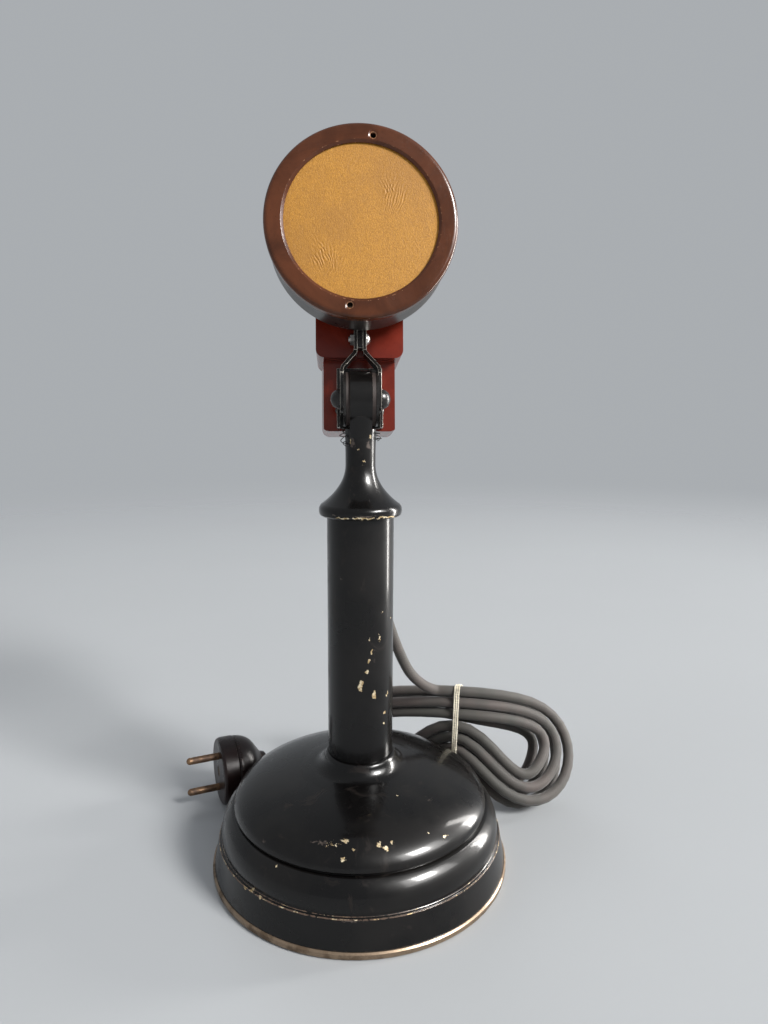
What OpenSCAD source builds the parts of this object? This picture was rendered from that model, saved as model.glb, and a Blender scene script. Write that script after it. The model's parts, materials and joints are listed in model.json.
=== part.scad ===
// Round-capsule table microphone on a telephone-style stand, with its tied hank of cord and two-pin plug.
// Millimetres. The origin is the centre of the base's underside, +Z is up and the microphone faces -Y.

/* [Base] */
// Diameter over the bright rim
base_d = 150; // [136:1:170]
// Height of the bright rim
rim_h = 3.5; // [2.5:0.1:5]
// Height of the top of the skirt
skirt_top = 16.8; // [15:0.1:19]
// Height of the groove between the bead and the dome
groove_z = 30.5; // [28:0.1:34]
// Height of the dome above the groove
dome_h = 18.6; // [16:0.1:22]
// Thickness of the spun shell
shell_t = 1.2; // [0.8:0.1:1.8]
// Radius of the fillet between dome and column
foot_fillet = 7.5; // [5:0.1:9]
// Thickness of the felt pad
felt_t = 0.9; // [0.6:0.1:1.5]
// Thickness of the bottom plate
plate_t = 1.2; // [0.8:0.1:2]
// Number of screws in the bottom plate
plate_screws_n = 3; // [3:1:6]

/* [Column] */
// Outer diameter of the column tube
column_d = 32.6; // [30:0.1:36]
// Wall of the column tube
column_wall = 1.6; // [1:0.1:2.5]
// Height of the top of the column tube
column_top = 178; // [160:1:200]
// Height of the hole that the cord leaves by
cord_hole_z = 124; // [110:1:140]

/* [Neck] */
// Diameter of the cap's rim
cap_d = 40.3; // [38:0.1:44]
// Height of the cap's rim
cap_h = 5.2; // [4:0.1:7]
// Diameter of the slender neck
neck_d = 14.5; // [13:0.1:17]
// Height of the slender neck's lower end above the column
flare_h = 25; // [22:0.5:30]
// Height of the tilt axis above the column
pivot_up = 55.5; // [52:0.5:60]
// Radius of the round knuckle on the neck
knuckle_r = 13.5; // [12:0.1:14]
// Thickness of the knuckle
knuckle_t = 10.4; // [9:0.1:12]
// Diameter of the pivot bolt
pivot_d = 5; // [4:0.1:6]

/* [Fork] */
// Distance over the two fork arms
fork_w = 19.4; // [18:0.1:24]
// Thickness of a fork arm
arm_t = 1.5; // [1:0.1:2]
// Width of a fork arm at the pivot
arm_w = 13; // [11:0.1:14]
// Distance between the arms where they are pinched together
pinch_gap = 2.8; // [2:0.1:4]
// Backward tilt of the head in the photographed pose
head_tilt = 8; // [0:1:12]

/* [Head] */
// Diameter of the cloth and of the round pieces behind it
disc_d = 72.2; // [64:0.2:80]
// Lip of the front ring over the cloth's edge
ring_lip = 1.7; // [1:0.1:3]
// Wall of the ring's spigot round the cloth
spigot_wall = 4.3; // [3:0.1:5]
// How far the ring stands out from the barrel
ring_proud = 0.6; // [0.2:0.1:1.5]
// Depth of the front ring
ring_t = 5; // [4:0.1:7]
// Height of the ring's centre above the tilt axis
ring_up = 75.2; // [72:0.2:80]
// Distance of the ring's face in front of the tilt axis
ring_front = 24.7; // [24:0.1:30]
// Wall of the barrel
barrel_wall = 2.2; // [1.5:0.1:3]
// Depth of the head from the ring's face to the barrel's back
head_depth = 25; // [24.6:0.1:30]
// Diameter of the two spanner holes in the ring
spanner_hole_d = 2.6; // [2:0.1:2.8]

/* [Transformer box] */
// Width of the lower part at its front
box_low_w = 35.5; // [32:0.1:37]
// Width of the lower part at its back
box_low_back_w = 38; // [36:0.1:40]
// Width of the upper part
box_up_w = 42.6; // [41:0.1:46]
// Distance of the box's back from the tilt axis
box_back = 42; // [40:0.5:48]
// Wall of the box
box_wall = 2.2; // [1.5:0.1:3]
// Thickness of the back cover
cover_t = 3; // [2:0.1:4]

/* [Cord and plug] */
// Diameter of the cord
cord_d = 6; // [5:0.1:6]
// Diameter of the plug
plug_d = 38; // [34:0.5:38]
// Length of the plug without its pins
plug_len = 28; // [26:0.5:32]
// Diameter of a plug pin
pin_d = 4; // [3:0.1:5]
// Distance between the two pins
pin_gap = 19; // [16:0.5:20]
// Length of a plug pin
pin_len = 18; // [15:0.5:20]

/* [Hidden] */
$fn = 96;

// Clearances: between pieces that are assembled, and between pieces that turn on each other
fit = 0.05;
seat = 0.3;
eps = 0.01;

// Lacquer, metal and plastic colours
black = [0.06, 0.06, 0.07];
dark = [0.13, 0.13, 0.14];
brass = [0.72, 0.56, 0.27];
steel = [0.55, 0.55, 0.56];
iron = [0.25, 0.25, 0.26];
brown = [0.33, 0.14, 0.10];
oxblood = [0.42, 0.10, 0.08];
gold = [0.72, 0.52, 0.24];
cordgrey = [0.19, 0.18, 0.18];
string = [0.87, 0.82, 0.68];

// Derived sizes of the base
rim_r = base_d / 2;
skirt_r0 = rim_r - 1;
skirt_r1 = rim_r - 3.4;
bead_r = rim_r - 4.8;
bead_z = skirt_top + 3;
bead_c = bead_r - 10.2;
bead_hh = groove_z - bead_z + 0.6;
dome_r = rim_r - 11;
dome_z = groove_z + 1.2;
dome_p = 2.2;
crown_z = dome_z + dome_h;
column_r = column_d / 2;
column_in = column_r - column_wall;
foot_r = column_r + 1.4;
foot_c = foot_r + foot_fillet;
foot_top = crown_z - 0.75 + foot_fillet;
cavity_z = crown_z - 1.4 - shell_t;
flange_t = 4.2;
flange_r = column_r + 7.2;
flange_bot = cavity_z - flange_t;
ballast_bot = felt_t + plate_t;
ballast_screw_r = column_r + 3.6;
bottom_screw_pcd = rim_r * 2 - 78;

// Derived sizes of the neck, the pivot and the head's frame
spigot_l = 14;
pivot_z = column_top + pivot_up;
lead_bore = 2.6;
lead_d = 3.6;
lead_out_z = column_top + flare_h + 8;
arm_in = fork_w / 2 - arm_t;
fibre_t = 1.7;
fibre_x = knuckle_t / 2 + fit;
steel_x = fibre_x + fibre_t + fit;
steel_t = arm_in - fit - steel_x;
pinch_x = pinch_gap / 2;
boss_r = 20;
pinch_r = 1.5;
bend_lo = knuckle_r + 1.2;
bend_hi = bend_lo + 9.2;
arm_top = ring_up - boss_r - 7.3;
pinch_z = [bend_hi + 5.6, arm_top - 5];
head_back = head_depth - ring_front;
gap_to_box = 8 - head_back;
arm_y0 = head_back + 0.5;
arm_y1 = 7.5;
arm_mid = (arm_y0 + arm_y1) / 2;
pivot_head_r = 5;
pivot_head_h = 4.5;
bracket_t = 1.4;
bracket_y = knuckle_r + 0.8;
low_front = bracket_y + bracket_t + 0.1;
up_front = 8;
box_bottom = -13.5;
shoulder_z = bend_lo + 6.8;
box_top = ring_up + 16;
corner_r = 4;
centre_hole = 3.4;
centre_r = 5;

// Derived sizes of the capsule, as distances behind the ring's face
disc_r = disc_d / 2;
open_r = disc_r - ring_lip;
spigot_r = disc_r + fit + spigot_wall;
barrel_in = spigot_r + fit;
barrel_r = barrel_in + barrel_wall;
ring_r = barrel_r + ring_proud;
lip_t = 1.4;
cloth_t = 0.5;
screen_t = 0.8;
spacer_t = 3;
mica_t = 0.3;
clamp_t = 2;
gasket_t = 2.1;
cloth_y = lip_t;
screen_y = cloth_y + cloth_t;
spacer_y = screen_y + screen_t;
mica_y = spacer_y + spacer_t;
clamp_y = mica_y + mica_t;
block_y = clamp_y + clamp_t;
back_y = head_depth - barrel_wall;
block_back = back_y - gasket_t;
block_r = disc_r + 2.4;
granule_r = disc_r - 9.1;
granule_t = 2;
electrode_x = granule_r - 7;
spanner_r = (open_r + ring_r) / 2 - 1.05;
spanner_turn = 8;

// Fixed points of the cord: centre of its hole, the way it leaves, and its route to the hank, by hand
cord_r = cord_d / 2;
exit_turn = 68;
grommet_r = cord_r + 1.9;
grommet_out = 3.2;
exit_dir = [cos(exit_turn), sin(exit_turn), 0];
exit_r = column_r + grommet_out;
lead_route = [
    [11.6, 28.2, 122.6], [13.8, 32.3, 119.2], [16, 35.6, 114], [18.4, 38.2, 107],
    [20.8, 40.5, 100], [23.4, 42.7, 93], [26.4, 45, 86], [30, 47.2, 79],
    [34.6, 49, 73.2], [40.2, 50.3, 68.6]
];
tail_route = [
    [6, 103.3, 3.2], [-2, 104.3, 3.2], [-10, 102.5, 3.2], [-17, 98, 3.4], [-23, 91.5, 4.8],
    [-28.2, 84.7, 7.6], [-33, 78, 11.2], [-38, 72, 14.8], [-43.3, 66.8, 17.7]
];

// The hank: a looped run drawn in at its waist, in two layers that spiral in and out again
hank_at = [59, 52.7, 46];
hank_turn = -4;
hank_loops = 5 + 2 / 3;
hank_half = 62;
hank_half_step = 7;
waist_half = 18.5;
waist_step = 6.7;
lobe_gain = 35;
lobe_step = 4;
lobe_rate = 2;
layer_half = 3.9;
layer_fan = 2.5;
turn_back = 990;
back_slope = 0.36;
droop = 0.78;
bend_run = 24;
twist_run = 13;
lean_right = 50;
lean_left = 115;
rest_soft = 1.2;
rings_a_loop = 24;
hank_sides = 6;

// Place of the plug: centre of its face, and the turn of its axis
plug_at = [-81, 51, plug_d / 2];
plug_turn = 20;

// Small helpers

// Ring of sharp or rounded profile, turned about Z
module turned(points) {
    rotate_extrude() polygon(points);
}

// Cylinder along Y from y0 to y1
module along_y(r, y0, y1) {
    translate([0, y0, 0]) rotate([-90, 0, 0]) cylinder(r = r, h = y1 - y0);
}

// Cylinder along X from x0 to x1
module along_x(r, x0, x1) {
    translate([x0, 0, 0]) rotate([0, 90, 0]) cylinder(r = r, h = x1 - x0);
}

// Profile of radius and distance from a face, turned about Y
module turned_y(points) {
    rotate([-90, 0, 0]) rotate_extrude() polygon(points);
}

// Rectangle with round corners, centred
module round_rect(w, h, r) {
    square([w - 2 * r, h], center = true);
    square([w, h - 2 * r], center = true);
    for (sx = [-1, 1], sy = [-1, 1])
        translate([sx * (w / 2 - r), sy * (h / 2 - r)]) circle(r = r);
}

// Domed and slotted screw head whose flat side lies on z = 0
module round_head(r, h, slot_w = 1, slot_d = 1) {
    ball = (r * r + h * h) / (2 * h);
    difference() {
        intersection() {
            translate([0, 0, h - ball]) sphere(r = ball);
            cylinder(r = r, h = h + 1);
        }
        translate([-r - 1, -slot_w / 2, h - slot_d]) cube([2 * r + 2, slot_w, slot_d + 1]);
    }
}

// Countersunk or plain screw: a shank down -Z from a head on z = 0
module screw(r, length, head_r, head_h) {
    translate([0, 0, -length]) cylinder(r = r, h = length);
    round_head(head_r, head_h, head_r * 0.3, head_h * 0.45);
}

// Moves a piece from the head's own frame, with the tilt axis as origin, to its place on the stand
module on_head() {
    translate([0, 0, pivot_z]) rotate([-head_tilt, 0, 0]) children();
}

// Moves a piece from the capsule's frame, behind the ring's face along +Y, to the head
module in_capsule() {
    on_head() translate([0, -ring_front, ring_up]) children();
}

// Vectors and tubes for the cord

function unit(v) = v / norm(v);
function carry(t, n) = unit(n - (n * t) * t);
function headings(p) = [
    for (i = [0:len(p) - 1]) unit(p[min(i + 1, len(p) - 1)] - p[max(i - 1, 0)])
];
function uprights(t, first) = [
    for (i = 0, n = carry(t[0], first); i < len(t);
        i = i + 1, n = carry(t[min(i, len(t) - 1)], n)) n
];

// Tube of given radius along a list of points, closed at both ends
module tube(points, r, sides, first = [0, 0, 1]) {
    t = headings(points);
    n = uprights(t, first);
    count = len(points);
    rings = [
        for (i = [0:count - 1], k = [0:sides - 1])
            let (a = 360 * k / sides)
            points[i] + r * (cos(a) * n[i] + sin(a) * cross(t[i], n[i]))
    ];
    walls = [
        for (i = [0:count - 2], k = [0:sides - 1], half = [0, 1])
            let (a = i * sides + k, b = i * sides + (k + 1) % sides)
            half == 0 ? [a, a + sides, b] : [b, a + sides, b + sides]
    ];
    ends = [
        for (k = [1:sides - 2], half = [0, 1])
            let (last = (count - 1) * sides)
            half == 0 ? [0, k, k + 1] : [last, last + k + 1, last + k]
    ];
    polyhedron(points = rings, faces = concat(walls, ends));
}

// Centre line of the hank and its frame, at the distance u from the tie and before it is placed
function hank_line(u) =
    let (r = sqrt(u * u + bend_run * bend_run))
    [u, back_slope * (r - u - bend_run), -droop * (r - bend_run)];
function hank_way(u) =
    let (r = sqrt(u * u + bend_run * bend_run))
    unit([1, back_slope * (u / r - 1), -droop * u / r]);
function hank_lean(u) = lean_right + (lean_left - lean_right) / (1 + exp(u / twist_run));
function hank_across(u) =
    let (t = hank_way(u), side = unit([-t[1], t[0], 0]), a = hank_lean(u))
    cos(a) * side + sin(a) * cross(t, side);

// Turns a point or a way of the hank about Z, and lays what would sink on the ground
function place_hank(p) =
    [p[0] * cos(hank_turn) - p[1] * sin(hank_turn), p[0] * sin(hank_turn) + p[1] * cos(hank_turn), p[2]];
function laid(z) =
    let (low = cord_r + 0.1, h = z - low)
    low + (h + sqrt(h * h + rest_soft * rest_soft)) / 2;

// Point of the hank after s degrees of winding
function hank_point(s) =
    let (
        turn = 90 - s,
        q = max(s < turn_back ? s / 360 : (2 * turn_back - s) / 360, -0.3),
        c2 = cos(turn) * cos(turn),
        u = (hank_half - q * hank_half_step * c2) * cos(turn),
        gain = (lobe_gain - q * lobe_step) * (1 - exp(-lobe_rate * c2)),
        v = sin(turn) * (waist_half - q * waist_step + gain),
        climb = min(max((s - turn_back + 90) / 180, 0), 1),
        layer = 2 * climb * climb * (3 - 2 * climb) - 1,
        w = layer * (layer_half + layer_fan * c2),
        across = hank_across(u),
        p = hank_at + place_hank(hank_line(u) + v * across - w * cross(hank_way(u), across))
    )
    [p[0], p[1], laid(p[2])];

hank_rings = hank_loops * rings_a_loop;
hank_run = [for (i = [0:hank_rings]) hank_point(360 * i / rings_a_loop)];
hank_in_dir = unit(hank_point(4) - hank_point(0));
hank_end_s = 360 * hank_loops;
hank_end_way = hank_point(hank_end_s) - hank_point(hank_end_s - 4);
hank_out_dir = unit([hank_end_way[0], hank_end_way[1], 0]);
hank_in = hank_run[0] - cord_d * hank_in_dir;
hank_out = hank_run[len(hank_run) - 1] + cord_d * hank_out_dir;
hank_path = concat([hank_in], hank_run, [hank_out]);
hank_fine = [
    for (i = [0:len(hank_path) - 2], half = [0, 1])
        half == 0 ? hank_path[i] : (hank_path[i] + hank_path[i + 1]) / 2
];
hank_gap = min([
    for (i = [0:len(hank_fine) - 13], j = [i + 12:len(hank_fine) - 1])
        norm(hank_fine[i] - hank_fine[j])
]) - cord_d;

function run_length(p, i = 1) = i >= len(p) ? 0 : norm(p[i] - p[i - 1]) + run_length(p, i + 1);

exit_face = [exit_r * exit_dir[0], exit_r * exit_dir[1], cord_hole_z];
lead_path = concat(
    [exit_face, exit_face + cord_d * exit_dir],
    lead_route,
    [hank_in - cord_d * hank_in_dir, hank_in]
);
plug_axis = [cos(plug_turn), sin(plug_turn), 0];
plug_back = plug_at + plug_len * plug_axis;
tail_path = concat(
    [hank_out, hank_out + cord_d * hank_out_dir],
    tail_route,
    [plug_back + cord_d * plug_axis, plug_back]
);
echo(least_gap_of_hank_to_itself = hank_gap);
echo(cord_lengths = [run_length(lead_path), run_length(hank_path), run_length(tail_path)]);

// The base

// Points of the shell's outline from the skirt to the crown, drawn in by a wall thickness
function bead_points(t) = [
    for (a = [-10:8:62]) [bead_c + (10.2 - t) * cos(a), bead_z + (bead_hh - t) * sin(a) / sin(66)]
];
function dome_points(t) = [
    for (a = [0:5:65]) [
        (dome_r - t) * pow(cos(a), 2 / dome_p), dome_z + (dome_h - t) * pow(sin(a), 2 / dome_p)
    ]
];
foot_points = [
    for (a = [-90:-15:-180])
        [foot_c + foot_fillet * cos(a), foot_top + foot_fillet * sin(a)]
];

module base_shell() {
    color(black) difference() {
        turned(concat(
            [[0, rim_h], [skirt_r0, rim_h], [skirt_r1, skirt_top - 0.4], [skirt_r1 - 0.4, skirt_top]],
            [[bead_r - 0.3, skirt_top]],
            bead_points(0),
            [[dome_r - 1.3, groove_z + 0.2]],
            dome_points(0),
            foot_points,
            [[0, foot_top]]
        ));
        turned(concat(
            [[0, rim_h - 1], [skirt_r0 - shell_t, rim_h - 1], [skirt_r0 - shell_t, rim_h]],
            [[skirt_r1 - shell_t, skirt_top - shell_t], [bead_r - shell_t, skirt_top - shell_t]],
            bead_points(shell_t),
            [[dome_r - 1.3 - shell_t, groove_z]],
            dome_points(shell_t),
            [[flange_r + 0.5, cavity_z], [0, cavity_z]]
        ));
        cylinder(r = column_r + fit, h = foot_top + 1);
    }
}

module base_rim() {
    rim_w = 1.7;
    ledge_r = rim_r - 4.5;
    color(brass) turned([
        [rim_r - rim_w, 0.3], [rim_r - 0.5, 0.3], [rim_r, 0.9], [rim_r, rim_h - 0.7],
        [rim_r - 0.7, rim_h], [ledge_r, rim_h], [ledge_r, ballast_bot],
        [rim_r - rim_w, ballast_bot]
    ]);
}

module bottom_screw_places() {
    for (k = [0:plate_screws_n - 1])
        rotate([0, 0, 30 + 360 * k / plate_screws_n]) translate([bottom_screw_pcd / 2, 0, 0]) children();
}

module bottom_plate() {
    color(steel) difference() {
        translate([0, 0, felt_t]) cylinder(r = rim_r - 1.7 - fit, h = plate_t);
        bottom_screw_places() cylinder(r = 2.2, h = 10);
    }
}

module felt_pad() {
    color([0.16, 0.22, 0.17]) difference() {
        cylinder(r = rim_r - 3, h = felt_t);
        bottom_screw_places() translate([0, 0, -1]) cylinder(r = 4.8, h = felt_t + 2);
    }
}

module bottom_screws() {
    head_h = felt_t - 0.2;
    color(steel) bottom_screw_places() {
        translate([0, 0, felt_t]) cylinder(r = 2, h = 11);
        translate([0, 0, felt_t]) rotate([180, 0, 0]) round_head(3.8, head_h, 1, 0.4);
    }
}

module ballast_screw_places() {
    for (k = [0:2]) rotate([0, 0, 120 * k]) translate([ballast_screw_r, 0, 0]) children();
}

module ballast_weight() {
    step_z = 24;
    shelf_z = 36;
    color(iron) difference() {
        turned([
            [0, ballast_bot], [rim_r - 16, ballast_bot], [rim_r - 15, ballast_bot + 1],
            [rim_r - 15, step_z], [rim_r - 25, shelf_z], [flange_r + 6, shelf_z + 2],
            [flange_r, flange_bot], [0, flange_bot]
        ]);
        translate([0, 0, -1]) cylinder(r = column_in - 4, h = 60);
        bottom_screw_places() cylinder(r = 2 + fit, h = felt_t + 12);
        ballast_screw_places() {
            cylinder(r = 2 + fit, h = 60);
            cylinder(r = 3.6, h = 14);
        }
    }
}

module ballast_screws() {
    color(steel) ballast_screw_places() {
        translate([0, 0, 14 - 3]) cylinder(r = 3.3, h = 3);
        translate([0, 0, 14]) cylinder(r = 2, h = cavity_z - 14 - 0.5);
    }
}

module foot_flange() {
    color(steel) difference() {
        translate([0, 0, flange_bot]) cylinder(r = flange_r, h = flange_t);
        cylinder(r = column_r + fit / 2, h = 80);
        ballast_screw_places() cylinder(r = 2 + fit, h = cavity_z - 0.5 + fit);
    }
}

// The column

module at_cord_hole() {
    translate([0, 0, cord_hole_z]) rotate([0, 0, exit_turn - 90]) children();
}

module column_tube() {
    color(black) difference() {
        translate([0, 0, flange_bot]) cylinder(r = column_r, h = column_top - flange_bot);
        translate([0, 0, flange_bot - 1]) cylinder(r = column_in, h = column_top);
        at_cord_hole() along_y(grommet_r, 0, column_d);
        translate([0, 0, column_top - spigot_l / 2]) along_y(1.6, 0, column_d);
    }
}

module cord_grommet() {
    color(dark) at_cord_hole() difference() {
        union() {
            along_y(grommet_r - fit, column_in - 1.6, exit_r);
            along_y(grommet_r + 1.6, column_r + 0.35, column_r + 0.35 + 1.9);
        }
        along_y(cord_r + fit, 0, column_d);
    }
}

// Whipping on the cord inside the column, which keeps it from being pulled out
module cord_stop() {
    color(string) at_cord_hole() difference() {
        along_y(cord_r + 1.4, column_in - 1.9 - 5, column_in - 1.9);
        along_y(cord_r + fit, 0, column_d);
    }
}

// Point at a distance along the slanted hole that the lead leaves the neck by
neck_exit_up = 20;
function neck_exit(d) = [0, d * cos(neck_exit_up), lead_out_z + d * sin(neck_exit_up)];

// Lead inside the column, from the cord's hole up into the neck's bore
module column_lead() {
    color(cordgrey) {
        at_cord_hole() along_y(cord_r, column_in - 9.5, exit_r);
        at_cord_hole() translate([0, column_in - 9.5, 0]) sphere(r = cord_r);
        start = [exit_dir[0] * (column_in - 9.5), exit_dir[1] * (column_in - 9.5), cord_hole_z];
        tube([
            start, [1, 2.5, cord_hole_z + 8], [0, 0, cord_hole_z + 20], [0, 0, column_top - 20],
            [0, 0, column_top], [0, 0, lead_out_z - 5], [0, 0.5, lead_out_z - 1.8],
            neck_exit(2.2), neck_exit(4)
        ], lead_d / 2 - 0.1, 8, [0, 1, 0]);
    }
}

// The neck

flare_top = column_top + flare_h;
neck_r = neck_d / 2;
bell_lip = 0.85;
bell_power = 2.2;
flare_steps = 18;
neck_shoulder = pivot_z - knuckle_r - 0.5;

module neck_cap() {
    flare_start = column_top + cap_h;
    cap_r = cap_d / 2;
    color(black) difference() {
        union() {
            turned(concat(
                [[0, column_top - spigot_l], [column_in - fit, column_top - spigot_l]],
                [[column_in - fit, column_top], [cap_r - 1.1, column_top], [cap_r - 0.3, column_top + 0.6]],
                [[cap_r, column_top + 1.8], [cap_r, cap_h - 1.8 + column_top]],
                [[cap_r - 0.25, flare_start - 0.9]],
                [for (k = [0:flare_steps - 1]) [
                    neck_r + (cap_r - bell_lip - neck_r) * pow(1 - k / flare_steps, bell_power),
                    flare_start + (flare_top - flare_start) * k / flare_steps
                ]],
                [[neck_r, flare_top], [neck_r, flare_top + 5], [neck_r + 0.3, neck_shoulder]],
                [[0, neck_shoulder]]
            ));
            translate([0, 0, pivot_z]) along_x(knuckle_r, -knuckle_t / 2, knuckle_t / 2);
            intersection() {
                turned(concat(
                    [[0, flare_top + 6], [neck_r - 0.5, flare_top + 6]],
                    [for (a = [90:-9:18]) [
                        neck_r + 5.4 - 5.4 * sin(a), neck_shoulder + 5 - 15.5 * cos(90 - a) + 5.5
                    ]],
                    [[neck_r + 3.7, pivot_z - 6], [0, pivot_z - 6]]
                ));
                translate([-knuckle_t / 2, -30, flare_top]) cube([knuckle_t, 60, 40]);
            }
        }
        translate([0, 0, pivot_z]) along_x(pivot_d / 2 + 0.06, -20, 20);
        translate([0, 0, column_top - spigot_l - 1])
            cylinder(r = lead_bore, h = lead_out_z - column_top + spigot_l + 2.6);
        translate([0, 0, lead_out_z]) rotate([neck_exit_up, 0, 0]) along_y(lead_bore - 0.2, 0, 20);
        translate([0, 0, column_top - spigot_l / 2]) along_y(1.25, column_in - 6, 40);
    }
}

// Grub screw that holds the cap in the column, at the back
module neck_screw() {
    color(steel) translate([0, 0, column_top - spigot_l / 2]) difference() {
        along_y(1.2, column_in - 5, column_r + 0.2);
        translate([-2, column_r - 0.5, -0.25]) cube([4, 2, 0.5]);
    }
}

// Flexible lead from the neck to the box
lead_bush_y = low_front + 9;
function head_point(y, z) = [
    0, y * cos(head_tilt) + z * sin(head_tilt), pivot_z - y * sin(head_tilt) + z * cos(head_tilt)
];
bush_flange = 1.5;

module head_lead() {
    low = box_bottom - bush_flange;
    color(cordgrey) tube([
        neck_exit(4), neck_exit(7), neck_exit(10.5), head_point(lead_bush_y - 6.6, low - 5.6),
        head_point(lead_bush_y - 2.4, low - 6.4), head_point(lead_bush_y, low - 3),
        head_point(lead_bush_y, low)
    ], lead_d / 2, 8, [1, 0, 0]);
}

// The pivot

module pivot_bolt() {
    color(dark) on_head() {
        along_x(pivot_d / 2, -fork_w / 2 - 2.6, fork_w / 2 + fit + 1);
        translate([fork_w / 2 + fit, 0, 0]) rotate([0, 90, 0])
            round_head(pivot_head_r, pivot_head_h, 1.2, 1.4);
    }
}

module pivot_nut() {
    color(dark) on_head() difference() {
        translate([-fork_w / 2 - fit, 0, 0]) rotate([0, -90, 0])
            round_head(pivot_head_r, pivot_head_h, 1.2, 1.4);
        along_x(pivot_d / 2 + 0.02, -fork_w / 2 - 2.65, 0);
    }
}

module washer_pair(x, t, r, bore) {
    on_head() for (side = [0, 1]) mirror([side, 0, 0]) difference() {
        along_x(r, x, x + t);
        along_x(bore, x - 1, x + t + 1);
    }
}

module fibre_washers() {
    color([0.35, 0.16, 0.1]) washer_pair(fibre_x, fibre_t, knuckle_r - 0.9, pivot_d / 2 + fit);
}

module steel_washers() {
    color(dark) washer_pair(steel_x, steel_t, knuckle_r - 0.7, pivot_d / 2 + fit);
}

// The fork

// Edge view of the right arm: straight past the pivot, bent in, then pinched
module arm_edge() {
    out = fork_w / 2;
    near = pinch_x;
    polygon([
        [out, -arm_w / 2], [out, bend_lo - 1.5], [out - 0.6, bend_lo + 0.6],
        [near + arm_t + 0.5, bend_hi - 1.2], [near + arm_t, bend_hi + 0.4], [near + arm_t, arm_top],
        [near, arm_top], [near, bend_hi - 0.2], [near + 0.2, bend_hi - 1.8],
        [out - arm_t - 0.5, bend_lo], [out - arm_t, bend_lo - 1.7], [out - arm_t, -arm_w / 2]
    ]);
}

// Side view of an arm above the pivot, with a tab to the bracket, narrow at the top
module arm_side() {
    polygon([
        [-arm_w / 2, 0], [-arm_w / 2, bend_lo - 3], [arm_y0, bend_hi], [arm_y0, arm_top],
        [arm_y1, arm_top], [arm_y1, bend_hi], [arm_w / 2, bend_lo - 3], [arm_w / 2, 4],
        [bracket_y - 0.4, 4], [bracket_y - 0.4, -arm_w / 2], [0, -arm_w / 2]
    ]);
}

rivet_at = [[10.6, 0.6], [10.6, -4]];

module fork_arm() {
    difference() {
        intersection() {
            translate([0, 20, 0]) rotate([90, 0, 0]) linear_extrude(40) arm_edge();
            union() {
                rotate([90, 0, 90]) linear_extrude(20) arm_side();
                along_x(arm_w / 2, 0, 20);
            }
        }
        along_x(pivot_d / 2 + fit, -1, 20);
        for (z = pinch_z) translate([0, arm_mid, z]) along_x(pinch_r + fit, -1, 10);
        for (p = rivet_at) translate([0, p[0], p[1]]) along_x(1.1 + fit, -1, 20);
    }
}

module fork_arm_left() {
    color(dark) on_head() mirror([1, 0, 0]) fork_arm();
}

module fork_arm_right() {
    color(dark) on_head() fork_arm();
}

// Channel on the box's front whose cheeks hold the arms
cheek_x = fork_w / 2 + fit;
cheek_low = box_bottom + 1;
cheek_high = 4;
bracket_screw_z = 12;

module fork_bracket() {
    color(dark) on_head() difference() {
        union() {
            translate([-cheek_x - bracket_t, bracket_y, cheek_low])
                cube([2 * (cheek_x + bracket_t), bracket_t, 17.5 - cheek_low]);
            for (x = [-cheek_x - bracket_t, cheek_x])
                translate([x, pivot_head_r + 2.2, cheek_low])
                    cube([bracket_t, bracket_y - pivot_head_r - 2, cheek_high - cheek_low]);
        }
        for (p = rivet_at) translate([0, p[0], p[1]]) along_x(1.1 + fit, -20, 20);
        for (x = [-5, 5]) translate([x, 0, bracket_screw_z]) along_y(1.5, 0, 30);
    }
}

module bracket_rivets() {
    x0 = fork_w / 2 - arm_t;
    color(steel) on_head() {
        for (side = [0, 1], p = rivet_at) mirror([side, 0, 0]) translate([0, p[0], p[1]]) {
            along_x(1.1, x0, cheek_x + bracket_t + 0.02);
            translate([cheek_x + bracket_t, 0, 0]) rotate([0, 90, 0]) round_head(1.9, 0.9, 0.01, 0.01);
        }
        for (x = [-5, 5]) translate([x, 0, bracket_screw_z]) {
            along_y(1.5 - fit, bracket_y - 0.01, low_front + box_wall);
            translate([0, bracket_y, 0]) rotate([90, 0, 0]) round_head(2.4, 0.7, 0.6, 0.3);
        }
    }
}

module pinch_screws() {
    x1 = pinch_x + arm_t;
    color(steel) on_head() for (z = pinch_z) translate([0, arm_mid, z]) {
        along_x(pinch_r, -x1 - 2.6, x1 + 1);
        translate([x1, 0, 0]) rotate([0, 90, 0]) round_head(3, 2.1, 0.9, 0.9);
        translate([-x1 - 1.8, 0, 0]) rotate([0, 90, 0]) cylinder(r = 2.9, h = 1.8, $fn = 6);
    }
}

// Plate with a tongue: joins fork, barrel and box
module head_bracket() {
    color(dark) on_head() difference() {
        union() {
            translate([0, 0, ring_up]) along_y(boss_r, head_back + fit, up_front - fit);
            translate([-pinch_x + fit, arm_y0, bend_hi + 0.8])
                cube([pinch_gap - 2 * fit, arm_y1 - arm_y0, ring_up - boss_r - bend_hi + 2]);
        }
        translate([0, 0, ring_up]) along_y(centre_r + fit, -5, 20);
        for (z = pinch_z) translate([0, arm_mid, z]) along_x(pinch_r + fit, -5, 5);
    }
}

// Hollow bolt through barrel, bracket and box, which the leads pass through
module centre_bolt() {
    color(steel) on_head() translate([0, 0, ring_up]) difference() {
        union() {
            along_y(centre_r, head_back - barrel_wall, up_front + box_wall + 5);
            along_y(centre_r + 2.5, head_back - barrel_wall - 1.6, head_back - barrel_wall);
        }
        along_y(centre_hole, -20, 40);
    }
}

module centre_nut() {
    color(steel) on_head() translate([0, 0, ring_up]) difference() {
        translate([0, up_front + box_wall, 0]) rotate([-90, 0, 0]) cylinder(r = 8.5, h = 3.5, $fn = 6);
        along_y(centre_r + 0.02, -20, 40);
    }
}

// The capsule

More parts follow.
